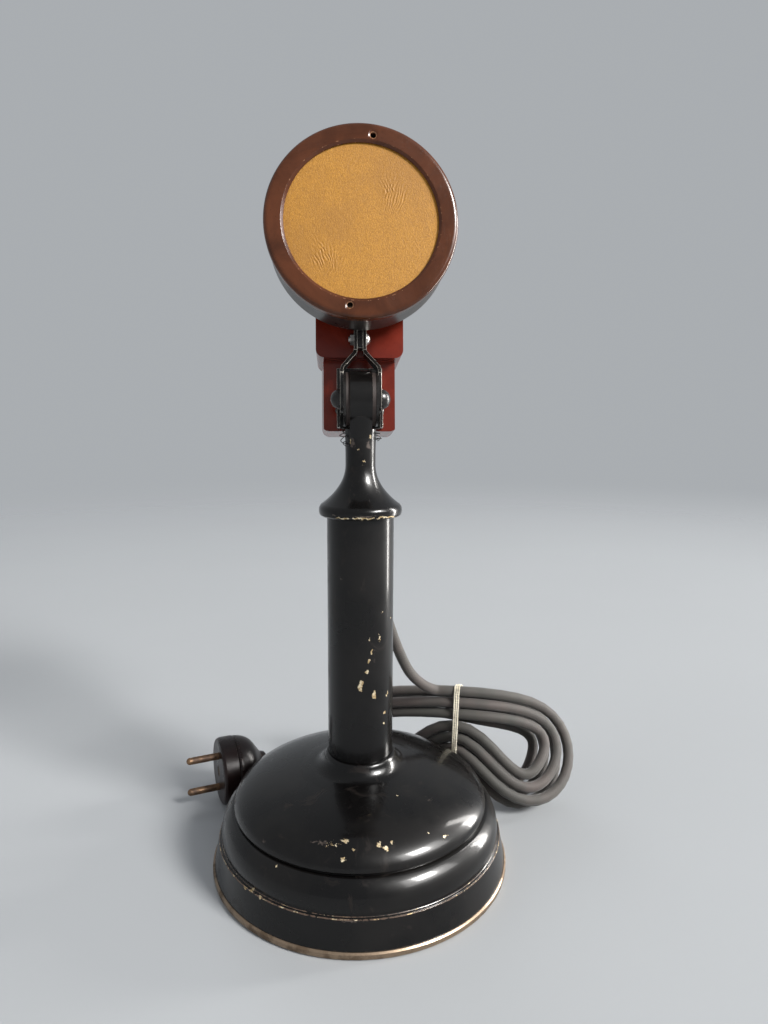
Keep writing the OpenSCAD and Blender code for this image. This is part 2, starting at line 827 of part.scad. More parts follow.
module barrel_housing() {
    r = barrel_r;
    color(dark) in_capsule() difference() {
        turned_y([
            [0, head_depth], [r - 1.6, head_depth], [r - 0.5, head_depth - 0.5],
            [r, head_depth - 1.6], [r, ring_t + 0.02], [0, ring_t + 0.02]
        ]);
        along_y(barrel_in, ring_t - 1, back_y);
        along_y(centre_r + fit, 0, 60);
    }
}

module front_ring() {
    color(brown) in_capsule() difference() {
        turned_y([
            [0, 0], [ring_r - 2.2, 0], [ring_r - 0.8, 0.5], [ring_r, 1.8], [ring_r, ring_t],
            [spigot_r, ring_t], [spigot_r, block_y], [0, block_y]
        ]);
        along_y(disc_r + fit, lip_t, 60);
        turned_y([[0, -1], [open_r + 1.2, -1], [open_r + 0.9, 0], [open_r, 0.9], [open_r, 60], [0, 60]]);
        for (turn = [spanner_turn, 180 + spanner_turn])
            rotate([0, turn, 0]) translate([0, 0, spanner_r]) along_y(spanner_hole_d / 2, -1, 2.4);
    }
}

module disc_between(r, y0, t) {
    along_y(r, y0, y0 + t);
}

module front_cloth() {
    color(gold) in_capsule() disc_between(disc_r, cloth_y, cloth_t);
}

module guard_screen() {
    pitch = 9;
    rows = 3;
    color(steel) in_capsule() difference() {
        disc_between(disc_r, screen_y, screen_t);
        for (i = [-rows:rows], j = [-rows:rows])
            if (abs(i + j) <= rows)
                translate([pitch * (i + j / 2), 0, pitch * j * 0.866]) along_y(2, 0, 10, $fn = 24);
    }
}

module spacer_ring() {
    color(brown) in_capsule() difference() {
        disc_between(disc_r, spacer_y, spacer_t);
        along_y(disc_r - 3.5, 0, 30);
    }
}

module diaphragm() {
    color([0.8, 0.76, 0.66]) in_capsule() disc_between(disc_r, mica_y, mica_t);
}

module clamp_ring() {
    color(brass) in_capsule() difference() {
        disc_between(disc_r, clamp_y, clamp_t);
        along_y(granule_r + 3, 0, 30);
    }
}

module carbon_granules() {
    color([0.08, 0.08, 0.08]) in_capsule() difference() {
        union() {
            disc_between(granule_r - fit, block_y, granule_t - fit);
            disc_between(granule_r + 3 - fit, clamp_y + fit, clamp_t - 2 * fit);
            disc_between(granule_r - 1, clamp_y + clamp_t - 2 * fit, 4 * fit);
        }
        electrode_places() along_z_centred(3 + fit, 40);
    }
}

module along_z_centred(r, length) {
    translate([0, 0, -length / 2]) cylinder(r = r, h = length);
}

module electrode_places() {
    for (x = [-electrode_x, electrode_x]) translate([x, block_y + 1.6, 0]) children();
}

module carbon_electrodes() {
    color([0.12, 0.12, 0.12]) in_capsule() electrode_places() along_z_centred(3, 26);
}

module capsule_block() {
    color([0.82, 0.8, 0.76]) in_capsule() difference() {
        along_y(block_r, block_y, block_back);
        along_y(granule_r, block_y - 1, block_y + granule_t);
        electrode_places() along_z_centred(3 + fit, 26 + 2 * fit);
        for (x = [-electrode_x, electrode_x]) translate([x, 0, 0]) along_y(1.5 + fit, 0, 40);
        for (x = [-electrode_x, electrode_x])
            translate([x, 0, 0]) along_y(4.5, block_back - 1.6, 40);
        along_y(centre_r + 6, block_back - 2.4, 40);
    }
}

module capsule_terminals() {
    start = block_y + 4.62;
    color(brass) in_capsule() for (x = [-electrode_x, electrode_x]) translate([x, 0, 0]) {
        along_y(1.5, start, block_back + 0.6);
        along_y(3.2, block_back - 1.5, block_back - 0.2);
    }
}

module capsule_gasket() {
    color([0.3, 0.28, 0.26]) in_capsule() difference() {
        disc_between(block_r, block_back, gasket_t);
        along_y(block_r - 6, 0, 60);
    }
}

// The transformer box

module box_lower(w0, w1, y0, y1, z0, z1, r) {
    intersection() {
        translate([0, 0, z0]) linear_extrude(z1 - z0)
            polygon([[-w0 / 2, y0], [w0 / 2, y0], [w1 / 2, y1], [-w1 / 2, y1]]);
        translate([0, y1 + 1, (z0 + z1) / 2 + r / 2]) rotate([90, 0, 0])
            linear_extrude(y1 - y0 + 2) round_rect(w1, z1 - z0 + r, r);
    }
}

module box_upper(w, y0, y1, z0, z1, r) {
    translate([0, y1, (z0 + z1) / 2]) rotate([90, 0, 0])
        linear_extrude(y1 - y0) round_rect(w, z1 - z0, r);
}

post_in = 5;
cover_post_z = [box_bottom + post_in, box_top - post_in];
cover_post_x = [box_low_w / 2 - post_in, box_up_w / 2 - post_in];

module cover_post_places() {
    for (i = [0, 1], side = [-1, 1])
        translate([side * cover_post_x[i], 0, cover_post_z[i]]) children();
}

module transformer_box() {
    w = box_wall;
    color(oxblood) on_head() difference() {
        union() {
            box_lower(box_low_w, box_low_back_w, low_front, box_back, box_bottom, shoulder_z + 1, corner_r);
            box_upper(box_up_w, up_front, box_back, shoulder_z, box_top, corner_r);
        }
        difference() {
            union() {
                box_lower(box_low_w - 2 * w, box_low_back_w - 2 * w, low_front + w, box_back + 1,
                    box_bottom + w, shoulder_z + w + 1, corner_r - 1);
                box_upper(box_up_w - 2 * w, up_front + w, box_back + 1, shoulder_z + w, box_top - w,
                    corner_r - 1);
            }
            cover_post_places() along_y(3.4, up_front, box_back);
        }
        cover_post_places() along_y(1.5, box_back - 12, box_back + 5);
        translate([0, 0, ring_up]) along_y(centre_r + fit, 0, 20);
        for (x = [-5, 5]) translate([x, 0, bracket_screw_z]) along_y(1.5, 0, 30);
        translate([0, lead_bush_y, box_bottom - 1]) cylinder(r = lead_d / 2 + 1.2, h = w + 2);
    }
}

module box_cover() {
    y0 = box_back + fit;
    color(oxblood) on_head() difference() {
        union() {
            box_upper(box_low_back_w, y0, y0 + cover_t, box_bottom, shoulder_z + corner_r, corner_r);
            box_upper(box_up_w, y0, y0 + cover_t, shoulder_z, box_top, corner_r);
            translate([0, 0, ring_up - 36])
                box_upper(20, y0, y0 + cover_t + 1.2, -14, 14, corner_r);
        }
        cover_post_places() along_y(1.8, 0, 60);
        for (x = [-6, 0, 6], z = [-8, 0, 8])
            translate([x, 0, ring_up - 36 + z]) along_y(1.3, 0, 60);
    }
}

module cover_screws() {
    y = box_back + fit + cover_t;
    color(brass) on_head() cover_post_places() translate([0, y, 0]) rotate([-90, 0, 0])
        screw(1.5 - fit, 11, 3, 1.7);
}

// Bush in the box's floor that the lead enters by
module lead_bush() {
    color(dark) on_head() translate([0, lead_bush_y, box_bottom]) difference() {
        union() {
            translate([0, 0, -bush_flange]) cylinder(r = lead_d / 2 + 2.4, h = bush_flange - fit / 2);
            translate([0, 0, -1]) cylinder(r = lead_d / 2 + 1.2 - fit, h = box_wall + 2);
        }
        translate([0, 0, -bush_flange - fit]) cylinder(r = lead_d / 2 + fit, h = 10);
    }
}

core_side = 4.1;
core_w = box_up_w - 2 * (box_wall + core_side);
core_h = 25;
core_y0 = up_front + box_wall + 8.5;
core_t = 13;
core_z0 = shoulder_z + box_wall + 0.1;
limb = 8;

module transformer_core() {
    color(iron) on_head() difference() {
        translate([-core_w / 2, core_y0, core_z0]) cube([core_w, core_t, core_h]);
        for (x = [-core_w / 2 + limb / 2, limb / 2])
            translate([x, core_y0 - 1, core_z0 + limb / 2])
                cube([core_w / 2 - limb, core_t + 2, core_h - limb]);
    }
}

module transformer_coil() {
    grow = core_w / 2 - limb - 1.2;
    color([0.5, 0.3, 0.12]) on_head() difference() {
        translate([0, core_y0 + core_t / 2, core_z0 + limb / 2 + 0.4])
            linear_extrude(core_h - limb - 0.8) round_rect(limb + 2 * grow, core_t + 2 * grow, 3);
        translate([-limb / 2 - fit, core_y0 - fit, 0])
            cube([limb + 2 * fit, core_t + 2 * fit, 100]);
    }
}

// Strap that holds the transformer to the box's front wall
module transformer_clamp() {
    t = 1.2;
    x0 = core_w / 2 + 0.1;
    y0 = up_front + box_wall;
    z0 = core_z0 + 2;
    color(steel) on_head() {
        for (side = [0, 1]) mirror([side, 0, 0]) {
            translate([x0, y0, z0]) cube([t, core_y0 + core_t - y0 + t, 7]);
            translate([x0 - 0.1 - 3.6, core_y0 + core_t + 0.05, z0]) cube([3.8 + t, t, 7]);
            difference() {
                translate([x0 + eps, y0, z0]) cube([3.8, t, 15]);
                translate([x0 + 2, 0, z0 + 12.5]) along_y(0.9, y0 - 1, y0 + t + 1);
            }
            translate([x0 + 2, y0 + t, z0 + 12.5]) rotate([-90, 0, 0]) screw(0.85, t, 1.6, 1);
        }
    }
}

strip_z = 1;
module strip_screw_places() {
    for (x = [-9, -3, 3, 9]) translate([x, low_front + box_wall + 6, strip_z]) children();
}

module terminal_strip() {
    y0 = low_front + box_wall;
    color([0.2, 0.08, 0.06]) on_head() difference() {
        union() {
            translate([-13, y0 + 2, strip_z - 4]) cube([26, 4, 8]);
            for (x = [-11.5, 8.5]) translate([x, y0 + eps, strip_z - 3]) cube([3, 2.1, 6]);
        }
        strip_screw_places() along_y(1, -3.5, 5);
    }
}

module terminal_screws() {
    color(brass) on_head() strip_screw_places() rotate([-90, 0, 0]) screw(1 - fit, 3, 2, 1.3);
}

// Wires from the bush up to the strip, two of them side by side
wire_r = 0.7;

module strip_leads() {
    y1 = low_front + box_wall + 6 + 1.3 + 0.3;
    color(cordgrey) on_head() for (side = [-1, 1]) tube([
        [side * 0.85, lead_bush_y, box_bottom - 1], [side * 0.85, lead_bush_y, box_bottom + 4],
        [side * 2, (lead_bush_y + y1) / 2 + 1.5, strip_z - 7], [side * 3, y1 + wire_r, strip_z - 3.5],
        [side * 3, y1 + wire_r, strip_z]
    ], wire_r, 6, [1, 0, 0]);
}

// Wires from the capsule's two terminals through the hollow bolt to the strip
module capsule_leads() {
    y0 = head_back - barrel_wall - 0.75;
    y1 = low_front + box_wall + 6 + 1.3 + 0.3;
    color(gold) on_head() for (side = [-1, 1]) tube([
        [side * electrode_x, y0, ring_up], [side * (centre_r + 7.5), y0, ring_up],
        [side * (centre_r + 3.6), y0 - 1.95, ring_up], [side * 4, y0 - 2.2, ring_up],
        [side * 1.6, y0 - 1.6, ring_up], [side * 1.2, y0 + 1, ring_up], [side * 1.2, up_front + 12, ring_up],
        [side * 1.6, up_front + 22, ring_up - 4], [side * 3, up_front + 32, ring_up - 12],
        [side * 11.5, up_front + 32, core_z0 + core_h / 2], [side * 11.5, up_front + 30, core_z0 - 4],
        [side * 9, y1 + wire_r + 4, strip_z + 8], [side * 9, y1 + wire_r, strip_z + 3],
        [side * 9, y1 + wire_r, strip_z]
    ], wire_r, 6, [0, 0, 1]);
}

// The cord, its hank and the plug

module cord_lead() {
    color(cordgrey) tube(lead_path, cord_r, 8);
}

module cord_hank() {
    color(cordgrey) tube(hank_path, cord_r, hank_sides);
}

module cord_tail() {
    color(cordgrey) tube(tail_path, cord_r, 8);
}

// String round the waist, three turns side by side, just past its middle and clear of the base
module hank_tie() {
    past_middle = 1.2;
    off_base = 0.8;
    clear = 1.6;
    side_clear = 1.2;
    corner = 4;
    string_d = 1.1;
    half_h = waist_half + cord_r + clear;
    half_w = layer_half + cord_r + side_clear;
    way = hank_way(0);
    color(string) translate(hank_at) rotate([0, 0, hank_turn + atan2(way[1], way[0])])
        for (k = [-1:1]) let (u = past_middle + k * string_d)
            rotate([hank_lean(u) - 90, 0, 0]) rotate([90, 0, 90])
                translate([off_base, 0, u - string_d / 2]) linear_extrude(string_d - 0.02)
                    difference() {
                        round_rect(2 * (half_w + string_d), 2 * (half_h + string_d),
                                   corner + string_d);
                        round_rect(2 * half_w, 2 * half_h, corner);
                    }
}

module on_plug() {
    translate(plug_at) rotate([0, 0, plug_turn]) children();
}

module plug_turned(points) {
    rotate([0, 90, 0]) rotate_extrude() polygon(points);
}

plug_split = 9;

module plug_base() {
    r = plug_d / 2;
    color(dark) on_plug() difference() {
        plug_turned([
            [0, 0], [r - 2, 0], [r - 0.6, 0.6], [r, 2], [r, plug_split], [0, plug_split]
        ]);
        along_x(r - 3, 4, plug_split + 1);
        for (z = [-1, 1]) translate([0, 0, z * pin_gap / 2]) along_x(pin_d / 2 + fit, -1, 10);
        along_x(1.5 + fit, -1, 10);
        along_x(3, -1, 1.6);
    }
}

module plug_cap() {
    r = plug_d / 2;
    x0 = plug_split + fit;
    color(dark) on_plug() difference() {
        plug_turned(concat(
            [[0, x0], [r - 0.8, x0], [r - 0.3, x0 + 1.5]],
            [for (a = [12:12:60]) [
                7.5 + (r - 8) * cos(a), x0 + 1.5 + (plug_len - x0 - 7) * sin(a)
            ]],
            [[7.4, plug_len - 3.5], [6.6, plug_len - 1], [5.8, plug_len], [0, plug_len]]
        ));
        plug_turned([
            [0, x0 - 1], [r - 3.5, x0 - 1], [r - 4.5, x0 + 3], [r - 9, x0 + 8], [3.5, plug_len - 7],
            [0, plug_len - 7]
        ]);
    }
}

module plug_pins() {
    tip = pin_d / 2;
    color(brass) on_plug() for (z = [-1, 1]) translate([0, 0, z * pin_gap / 2]) difference() {
        union() {
            along_x(tip, -pin_len + tip, 6);
            translate([-pin_len + tip, 0, 0]) sphere(r = tip);
            along_x(tip + 1.2, 4 + fit, 8.5);
        }
        translate([-pin_len - 1, -0.3, -tip - 1]) cube([pin_len - 6, 0.6, pin_d + 2]);
    }
}

module plug_screw() {
    color(brass) on_plug() {
        along_x(1.5, 0.5, plug_len - 7 - 0.01);
        along_x(2.8, 0.2, 1.55);
    }
}

base_rim();
base_shell();
bottom_plate();
felt_pad();
bottom_screws();
ballast_weight();
ballast_screws();
foot_flange();
column_tube();
cord_grommet();
cord_stop();
column_lead();
neck_cap();
neck_screw();
head_lead();
pivot_bolt();
pivot_nut();
fibre_washers();
steel_washers();
fork_arm_left();
fork_arm_right();
fork_bracket();
bracket_rivets();
pinch_screws();
head_bracket();
centre_bolt();
centre_nut();
barrel_housing();
front_ring();
front_cloth();
guard_screen();
spacer_ring();
diaphragm();
clamp_ring();
carbon_granules();
carbon_electrodes();
capsule_block();
capsule_terminals();
capsule_gasket();
transformer_box();
box_cover();
cover_screws();
lead_bush();
transformer_core();
transformer_coil();
transformer_clamp();
terminal_strip();
terminal_screws();
strip_leads();
capsule_leads();
cord_lead();
cord_hank();
hank_tie();
cord_tail();
plug_base();
plug_cap();
plug_pins();
plug_screw();
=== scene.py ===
import json
import math
import random

import bmesh
import bpy
from mathutils import Matrix, Vector, geometry, noise


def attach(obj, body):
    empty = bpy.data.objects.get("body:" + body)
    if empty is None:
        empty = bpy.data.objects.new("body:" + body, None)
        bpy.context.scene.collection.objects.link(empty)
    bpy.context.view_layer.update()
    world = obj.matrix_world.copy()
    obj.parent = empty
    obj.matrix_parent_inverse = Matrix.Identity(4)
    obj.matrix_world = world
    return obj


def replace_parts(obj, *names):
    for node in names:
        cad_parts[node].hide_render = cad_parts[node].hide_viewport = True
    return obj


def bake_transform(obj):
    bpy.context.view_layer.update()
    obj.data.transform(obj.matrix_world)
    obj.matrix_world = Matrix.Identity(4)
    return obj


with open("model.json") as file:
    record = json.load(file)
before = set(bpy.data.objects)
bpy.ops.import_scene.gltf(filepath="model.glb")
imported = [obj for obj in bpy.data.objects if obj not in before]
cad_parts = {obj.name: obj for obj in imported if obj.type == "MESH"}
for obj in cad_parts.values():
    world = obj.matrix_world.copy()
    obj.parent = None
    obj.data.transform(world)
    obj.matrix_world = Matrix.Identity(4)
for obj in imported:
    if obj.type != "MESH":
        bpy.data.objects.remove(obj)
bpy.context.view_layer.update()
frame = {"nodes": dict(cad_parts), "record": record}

MM = 0.001


# Places shared by many pieces, in millimetres

TILT_HEIGHT = 233.5
TILT_ANGLE = -8
CAPSULE_FRONT = (0, -24.7, 75.2)


def turned(degrees, axis):
    return Matrix.Rotation(math.radians(degrees), 4, axis)


HEAD = Matrix.Translation(Vector((0, 0, TILT_HEIGHT)) * MM) @ turned(TILT_ANGLE, "X")
CAPSULE = HEAD @ Matrix.Translation(Vector(CAPSULE_FRONT) * MM) @ turned(-90, "X")

# The black stand: column, cap with its flared neck, dome, bead and skirt
COLUMN_R = 16.3
COLUMN_BORE_R = 14.6
COLUMN_BOTTOM = 50
COLUMN_TOP = 178
CAP_R = 20
CAP_TOP = 183
NECK_R = 7.3
FLARE_H = 25
FLARE_POWER = 2.2
FOOT_TOP = 51
DOME_R = 64
DOME_Z = 31.7
DOME_H = 18.6
DOME_POWER = 2.2
BEAD_R = 60
BEAD_W = 10.2
BEAD_Z = 19.8
BEAD_H = 12.4
SKIRT_R = 74.6
SKIRT_TAPER = 0.18
SKIRT_TOP = 17

# The cord, its hank and the plug
CORD_R = 3
CORD_EXIT_ANGLE = math.radians(68)
CORD_EXIT_R = 19.5
CORD_EXIT_Z = 124

HANK_AT = Vector((59, 52.7, 46))
HANK_TURN = math.radians(-4)
HANK_END = 2040
HANK_STEP = 7.5
HANK_HALF = 62
HANK_HALF_STEP = 7
WAIST_HALF = 18.5
WAIST_STEP = 6.7
LOBE_GAIN = 35
LOBE_STEP = 4
LOBE_RATE = 2
LAYER_HALF = 3.9
LAYER_FAN = 2.5
TURN_BACK = 990
BACK_SLOPE = 0.36
DROOP = 0.78
BEND_RUN = 24
TWIST_RUN = 13
LEAN_RIGHT = 50
LEAN_LEFT = 115
REST_SOFT = 1.2
REST_GAP = 0.1
LEAST_TURNS = -0.3
END_STEP = 4
HANK_LEAD_IN = 6

PLUG_AT = Vector((-81, 51, 19))
PLUG_TURN = math.radians(20)
PLUG_LENGTH = 28

# Points given one by one, from the column down to the hank and from the hank to the plug
LEAD_POINTS = [(11.6, 28.2, 122.6), (13.8, 32.3, 119.2), (16, 35.6, 114), (18.4, 38.2, 107),
               (20.8, 40.5, 100), (23.4, 42.7, 93), (26.4, 45, 86), (30, 47.2, 79), (34.6, 49, 73.2),
               (40.2, 50.3, 68.6)]
TAIL_POINTS = [(6, 103.3, 3.2), (-2, 104.3, 3.2), (-10, 102.5, 3.2), (-17, 98, 3.4), (-23, 91.5, 4.8),
               (-28.2, 84.7, 7.6), (-33, 78, 11.2), (-38, 72, 14.8), (-43.3, 66.8, 17.7)]
STRAIGHT_RUN = 6
FREE_STEPS = 5


# Cord route: the same points and formula as the CAD model

def unit(v):
    return Vector(v).normalized()


def hank_line(u):
    r = math.hypot(u, BEND_RUN)
    return Vector((u, BACK_SLOPE * (r - u - BEND_RUN), -DROOP * (r - BEND_RUN)))


def hank_way(u):
    r = math.hypot(u, BEND_RUN)
    return unit((1, BACK_SLOPE * (u / r - 1), -DROOP * u / r))


def hank_lean(u):
    return math.radians(LEAN_RIGHT + (LEAN_LEFT - LEAN_RIGHT) / (1 + math.exp(u / TWIST_RUN)))


def hank_point(s):
    """Point of the hank's centreline after s degrees of winding."""
    turn = math.radians(90 - s)
    turns = max(s / 360 if s < TURN_BACK else (2 * TURN_BACK - s) / 360, LEAST_TURNS)
    near_end = math.cos(turn) ** 2
    along = (HANK_HALF - turns * HANK_HALF_STEP * near_end) * math.cos(turn)
    gain = (LOBE_GAIN - turns * LOBE_STEP) * (1 - math.exp(-LOBE_RATE * near_end))
    wide = math.sin(turn) * (WAIST_HALF - turns * WAIST_STEP + gain)
    climb = min(max((s - TURN_BACK + 90) / 180, 0), 1)
    layer = 2 * climb ** 2 * (3 - 2 * climb) - 1
    deep = layer * (LAYER_HALF + LAYER_FAN * near_end)
    way = hank_way(along)
    side = unit((-way[1], way[0], 0))
    across = math.cos(hank_lean(along)) * side + math.sin(hank_lean(along)) * way.cross(side)
    local = hank_line(along) + wide * across - deep * way.cross(across)
    point = HANK_AT + Matrix.Rotation(HANK_TURN, 3, "Z") @ local
    # Strands that would sink into the table lie on it instead
    low = CORD_R + REST_GAP
    height = point.z - low
    point.z = low + (height + math.hypot(height, REST_SOFT)) / 2
    return point


def curve_through(points, pieces=6):
    """Smooth line through points, each stretch cut into pieces."""
    ends = [2 * points[0] - points[1]] + points + [2 * points[-1] - points[-2]]
    out = []
    for a, b, c, d in zip(ends, ends[1:], ends[2:], ends[3:]):
        for k in range(pieces):
            t = k / pieces
            out.append(0.5 * (2 * b + (c - a) * t + (2 * a - 5 * b + 4 * c - d) * t * t
                              + (3 * b - a - 3 * c + d) * t ** 3))
    return out + [points[-1]]


def cord_route():
    """Centreline of the whole lead, from the grommet to the back of the plug."""
    in_dir = unit(hank_point(END_STEP) - hank_point(0))
    out_dir = hank_point(HANK_END) - hank_point(HANK_END - END_STEP)
    out_dir = unit((out_dir.x, out_dir.y, 0))
    hank_in = hank_point(0) - HANK_LEAD_IN * in_dir
    hank_out = hank_point(HANK_END) + HANK_LEAD_IN * out_dir
    exit_dir = Vector((math.cos(CORD_EXIT_ANGLE), math.sin(CORD_EXIT_ANGLE), 0))
    exit_face = CORD_EXIT_R * exit_dir + Vector((0, 0, CORD_EXIT_Z))
    axis = Vector((math.cos(PLUG_TURN), math.sin(PLUG_TURN), 0))
    plug_back = PLUG_AT + PLUG_LENGTH * axis
    lead = [exit_face, exit_face + STRAIGHT_RUN * exit_dir, *LEAD_POINTS,
            hank_in - STRAIGHT_RUN * in_dir, hank_in]
    tail = [hank_out, hank_out + STRAIGHT_RUN * out_dir, *TAIL_POINTS,
            plug_back + STRAIGHT_RUN * axis, plug_back]
    hank = [hank_point(HANK_STEP * k) for k in range(int(HANK_END / HANK_STEP) + 1)]
    lead = curve_through([Vector(p) for p in lead], FREE_STEPS)
    tail = curve_through([Vector(p) for p in tail], FREE_STEPS)
    return lead, lead + hank + tail


def way_at(line, k):
    """Direction of a line of points at its point k."""
    return (line[min(k + 1, len(line) - 1)] - line[max(k - 1, 0)]).normalized()


# Mesh making

def placed(name, data):
    """New object in the scene."""
    obj = bpy.data.objects.new(name, data)
    bpy.context.scene.collection.objects.link(obj)
    return obj


def piece(name, verts, faces, body, slot, wear=None, uvs=None):
    """A smooth-shaded object from points in metres, riding on a body."""
    mesh = bpy.data.meshes.new(name)
    mesh.from_pydata([tuple(v) for v in verts], [], faces)
    mesh.validate()
    mesh.shade_smooth()
    if wear is not None:
        mesh.attributes.new("wear", "FLOAT", "POINT").data.foreach_set("value", wear)
    if uvs is not None:
        layer = mesh.uv_layers.new(name="UVMap")
        for loop in mesh.loops:
            layer.data[loop.index].uv = uvs[loop.vertex_index]
    return dress(name, mesh, body, slot)


def dress(name, mesh, body, slot, finish=None):
    """The object of a mesh, with its finish and slot; without a body it is left unattached."""
    obj = placed(name, mesh)
    mesh.materials.append(material(finish or slot))
    if body:
        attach(obj, body)
    return obj


def arc(cx, cy, r, start, end, count):
    """Points on an arc, angles in degrees."""
    angles = [math.radians(start + (end - start) * k / count) for k in range(count + 1)]
    return [(cx + r * math.cos(a), cy + r * math.sin(a)) for a in angles]


WIDE_ROUND = 0.8
WIDE_WEAR = 0.25
NEARLY_STRAIGHT = 158
SIDE_SHARE = 0.45


def rounded(corners, radius, steps=4, reach=0.6):
    """Closed outline of (r, z) or (r, z, own radius) corners with round edges.

    Gives (r, z, wear): tight round edges carry wear 1, which is gone at reach beyond them."""
    out = []
    count = len(corners)
    for k, corner in enumerate(corners):
        here = Vector(corner[:2])
        size = corner[2] if len(corner) > 2 else radius
        to_prev = Vector(corners[k - 1][:2]) - here
        to_next = Vector(corners[(k + 1) % count][:2]) - here
        angle = to_prev.angle(to_next)
        if angle > math.radians(NEARLY_STRAIGHT) or size == 0:
            out.append((here.x, here.y, 0))
            continue
        worn = 1 if size < WIDE_ROUND else WIDE_WEAR
        cut = size / math.tan(angle / 2)
        cut = min(cut, SIDE_SHARE * to_prev.length, SIDE_SHARE * to_next.length)
        size = cut * math.tan(angle / 2)
        back = to_prev.normalized()
        onward = to_next.normalized()
        first = here + back * cut
        last = here + onward * cut
        centre = here + (back + onward).normalized() * (size / math.sin(angle / 2))
        sweep = math.pi - angle
        spin = 1 if (first - centre).cross(last - centre) > 0 else -1
        if to_prev.length - cut > 2 * reach:
            guard = first + back * reach
            out.append((guard.x, guard.y, 0))
        for j in range(steps + 1):
            a = spin * sweep * j / steps
            arm = first - centre
            out.append((centre.x + arm.x * math.cos(a) - arm.y * math.sin(a),
                        centre.y + arm.x * math.sin(a) + arm.y * math.cos(a), worn))
        if to_next.length - cut > 2 * reach:
            guard = last + onward * reach
            out.append((guard.x, guard.y, 0))
    return out


def lathe(name, outline, body, slot, steps=128, place=None):
    """Ring or cup turned about the local Z axis from a closed outline of (r, z, wear) points."""
    place = place or Matrix.Identity(4)
    verts = []
    wear = []
    for k in range(steps):
        a = 2 * math.pi * k / steps
        for r, z, w in outline:
            verts.append(place @ (Vector((r * math.cos(a), r * math.sin(a), z)) * MM))
            wear.append(w)
    count = len(outline)
    faces = []
    for k in range(steps):
        for j in range(count):
            here, up = k * count + j, k * count + (j + 1) % count
            there, far = (k + 1) % steps * count + j, (k + 1) % steps * count + (j + 1) % count
            faces.append((here, there, far, up))
    return piece(name, verts, faces, body, slot, wear)


def skin(outline, thickness):
    """Closed outline of a shell: the outer line, then the same line moved in."""
    line = [Vector(point[:2]) for point in outline]
    back = []
    for k, (r, z, _) in enumerate(outline):
        way = way_at(line, k)
        back.append((r - way.y * thickness, z + way.x * thickness, 0))
    return outline + back[::-1]


TUBE_SHARP = 60


def tube(name, path, radius, sides, body, slot):
    """Round tube along path (mm), with closed ends; radius is a number or a function of the length.

    Its map runs once round the tube, and along it in millimetres."""
    size = radius if callable(radius) else lambda length: radius
    ways = [way_at(path, k) for k in range(len(path))]
    side = ways[0].orthogonal().normalized()
    verts = []
    uvs = []
    length = 0.0
    for k, point in enumerate(path):
        if k:
            length += (point - path[k - 1]).length
            side = (side - side.dot(ways[k]) * ways[k]).normalized()
        other = ways[k].cross(side)
        for j in range(sides):
            a = 2 * math.pi * j / sides
            verts.append((point + size(length) * (math.cos(a) * side + math.sin(a) * other)) * MM)
            uvs.append((j / sides, length))
    faces = []
    for k in range(len(path) - 1):
        for j in range(sides):
            n = (j + 1) % sides
            faces.append((k * sides + j, k * sides + n, (k + 1) * sides + n, (k + 1) * sides + j))
    faces.append(tuple(range(sides))[::-1])
    faces.append(tuple((len(path) - 1) * sides + j for j in range(sides)))
    obj = piece(name, verts, faces, body, slot, uvs=uvs)
    obj.data.set_sharp_from_angle(angle=math.radians(TUBE_SHARP))
    return obj


SAME_POINT = 0.002
EVEN_WEIGHT = 80
# Degrees between two faces
SAME_PLANE = 0.6
SHARP_EDGE = 28
SHADED_EDGE = 34


def softened(name, node, width, segments=2, finish=None):
    """The node's own shape with its sharp edges rounded by width (mm); the round faces carry wear 1."""
    bm = bmesh.new()
    bm.from_mesh(frame["nodes"][node].data)
    bmesh.ops.remove_doubles(bm, verts=bm.verts, dist=SAME_POINT * MM)
    bmesh.ops.dissolve_limit(bm, angle_limit=math.radians(SAME_PLANE), verts=bm.verts, edges=bm.edges)
    edges = [e for e in bm.edges if len(e.link_faces) == 2
             and e.calc_face_angle(0) > math.radians(SHARP_EDGE)]
    wear = bm.faces.layers.float.new("wear")
    made = bmesh.ops.bevel(bm, geom=edges, offset=width * MM, segments=segments, profile=0.5,
                           affect="EDGES", clamp_overlap=True)
    for face in made["faces"]:
        face[wear] = 1
    mesh = bpy.data.meshes.new(name)
    bm.to_mesh(mesh)
    bm.free()
    mesh.shade_smooth()
    mesh.set_sharp_from_angle(angle=math.radians(SHADED_EDGE))
    obj = dress(name, mesh, body_of(node), slot_of(node), finish)
    even_shading(obj)
    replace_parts(obj, node)
    return obj


def even_shading(obj):
    """Keeps the broad faces of a piece with rounded edges flat in the light."""
    even = obj.modifiers.new("even", "WEIGHTED_NORMAL")
    even.keep_sharp = True
    even.weight = EVEN_WEIGHT
    settle(obj)


def settle(obj):
    """Gives the piece the mesh that its modifiers make of it."""
    bpy.context.view_layer.update()
    mesh = bpy.data.meshes.new_from_object(obj.evaluated_get(bpy.context.evaluated_depsgraph_get()))
    obj.modifiers.clear()
    obj.data = mesh


def body_of(node):
    bodies = frame["record"]["behaviour"]["bodies"]
    return next(body for body, members in bodies.items() if node in members)


def slot_of(node):
    return next(s["material_slot"] for s in frame["record"]["subparts"] if s["node"] == node)


# Materials

CHIP_STRAY = 3.4
CHIP_EDGE = 0.005


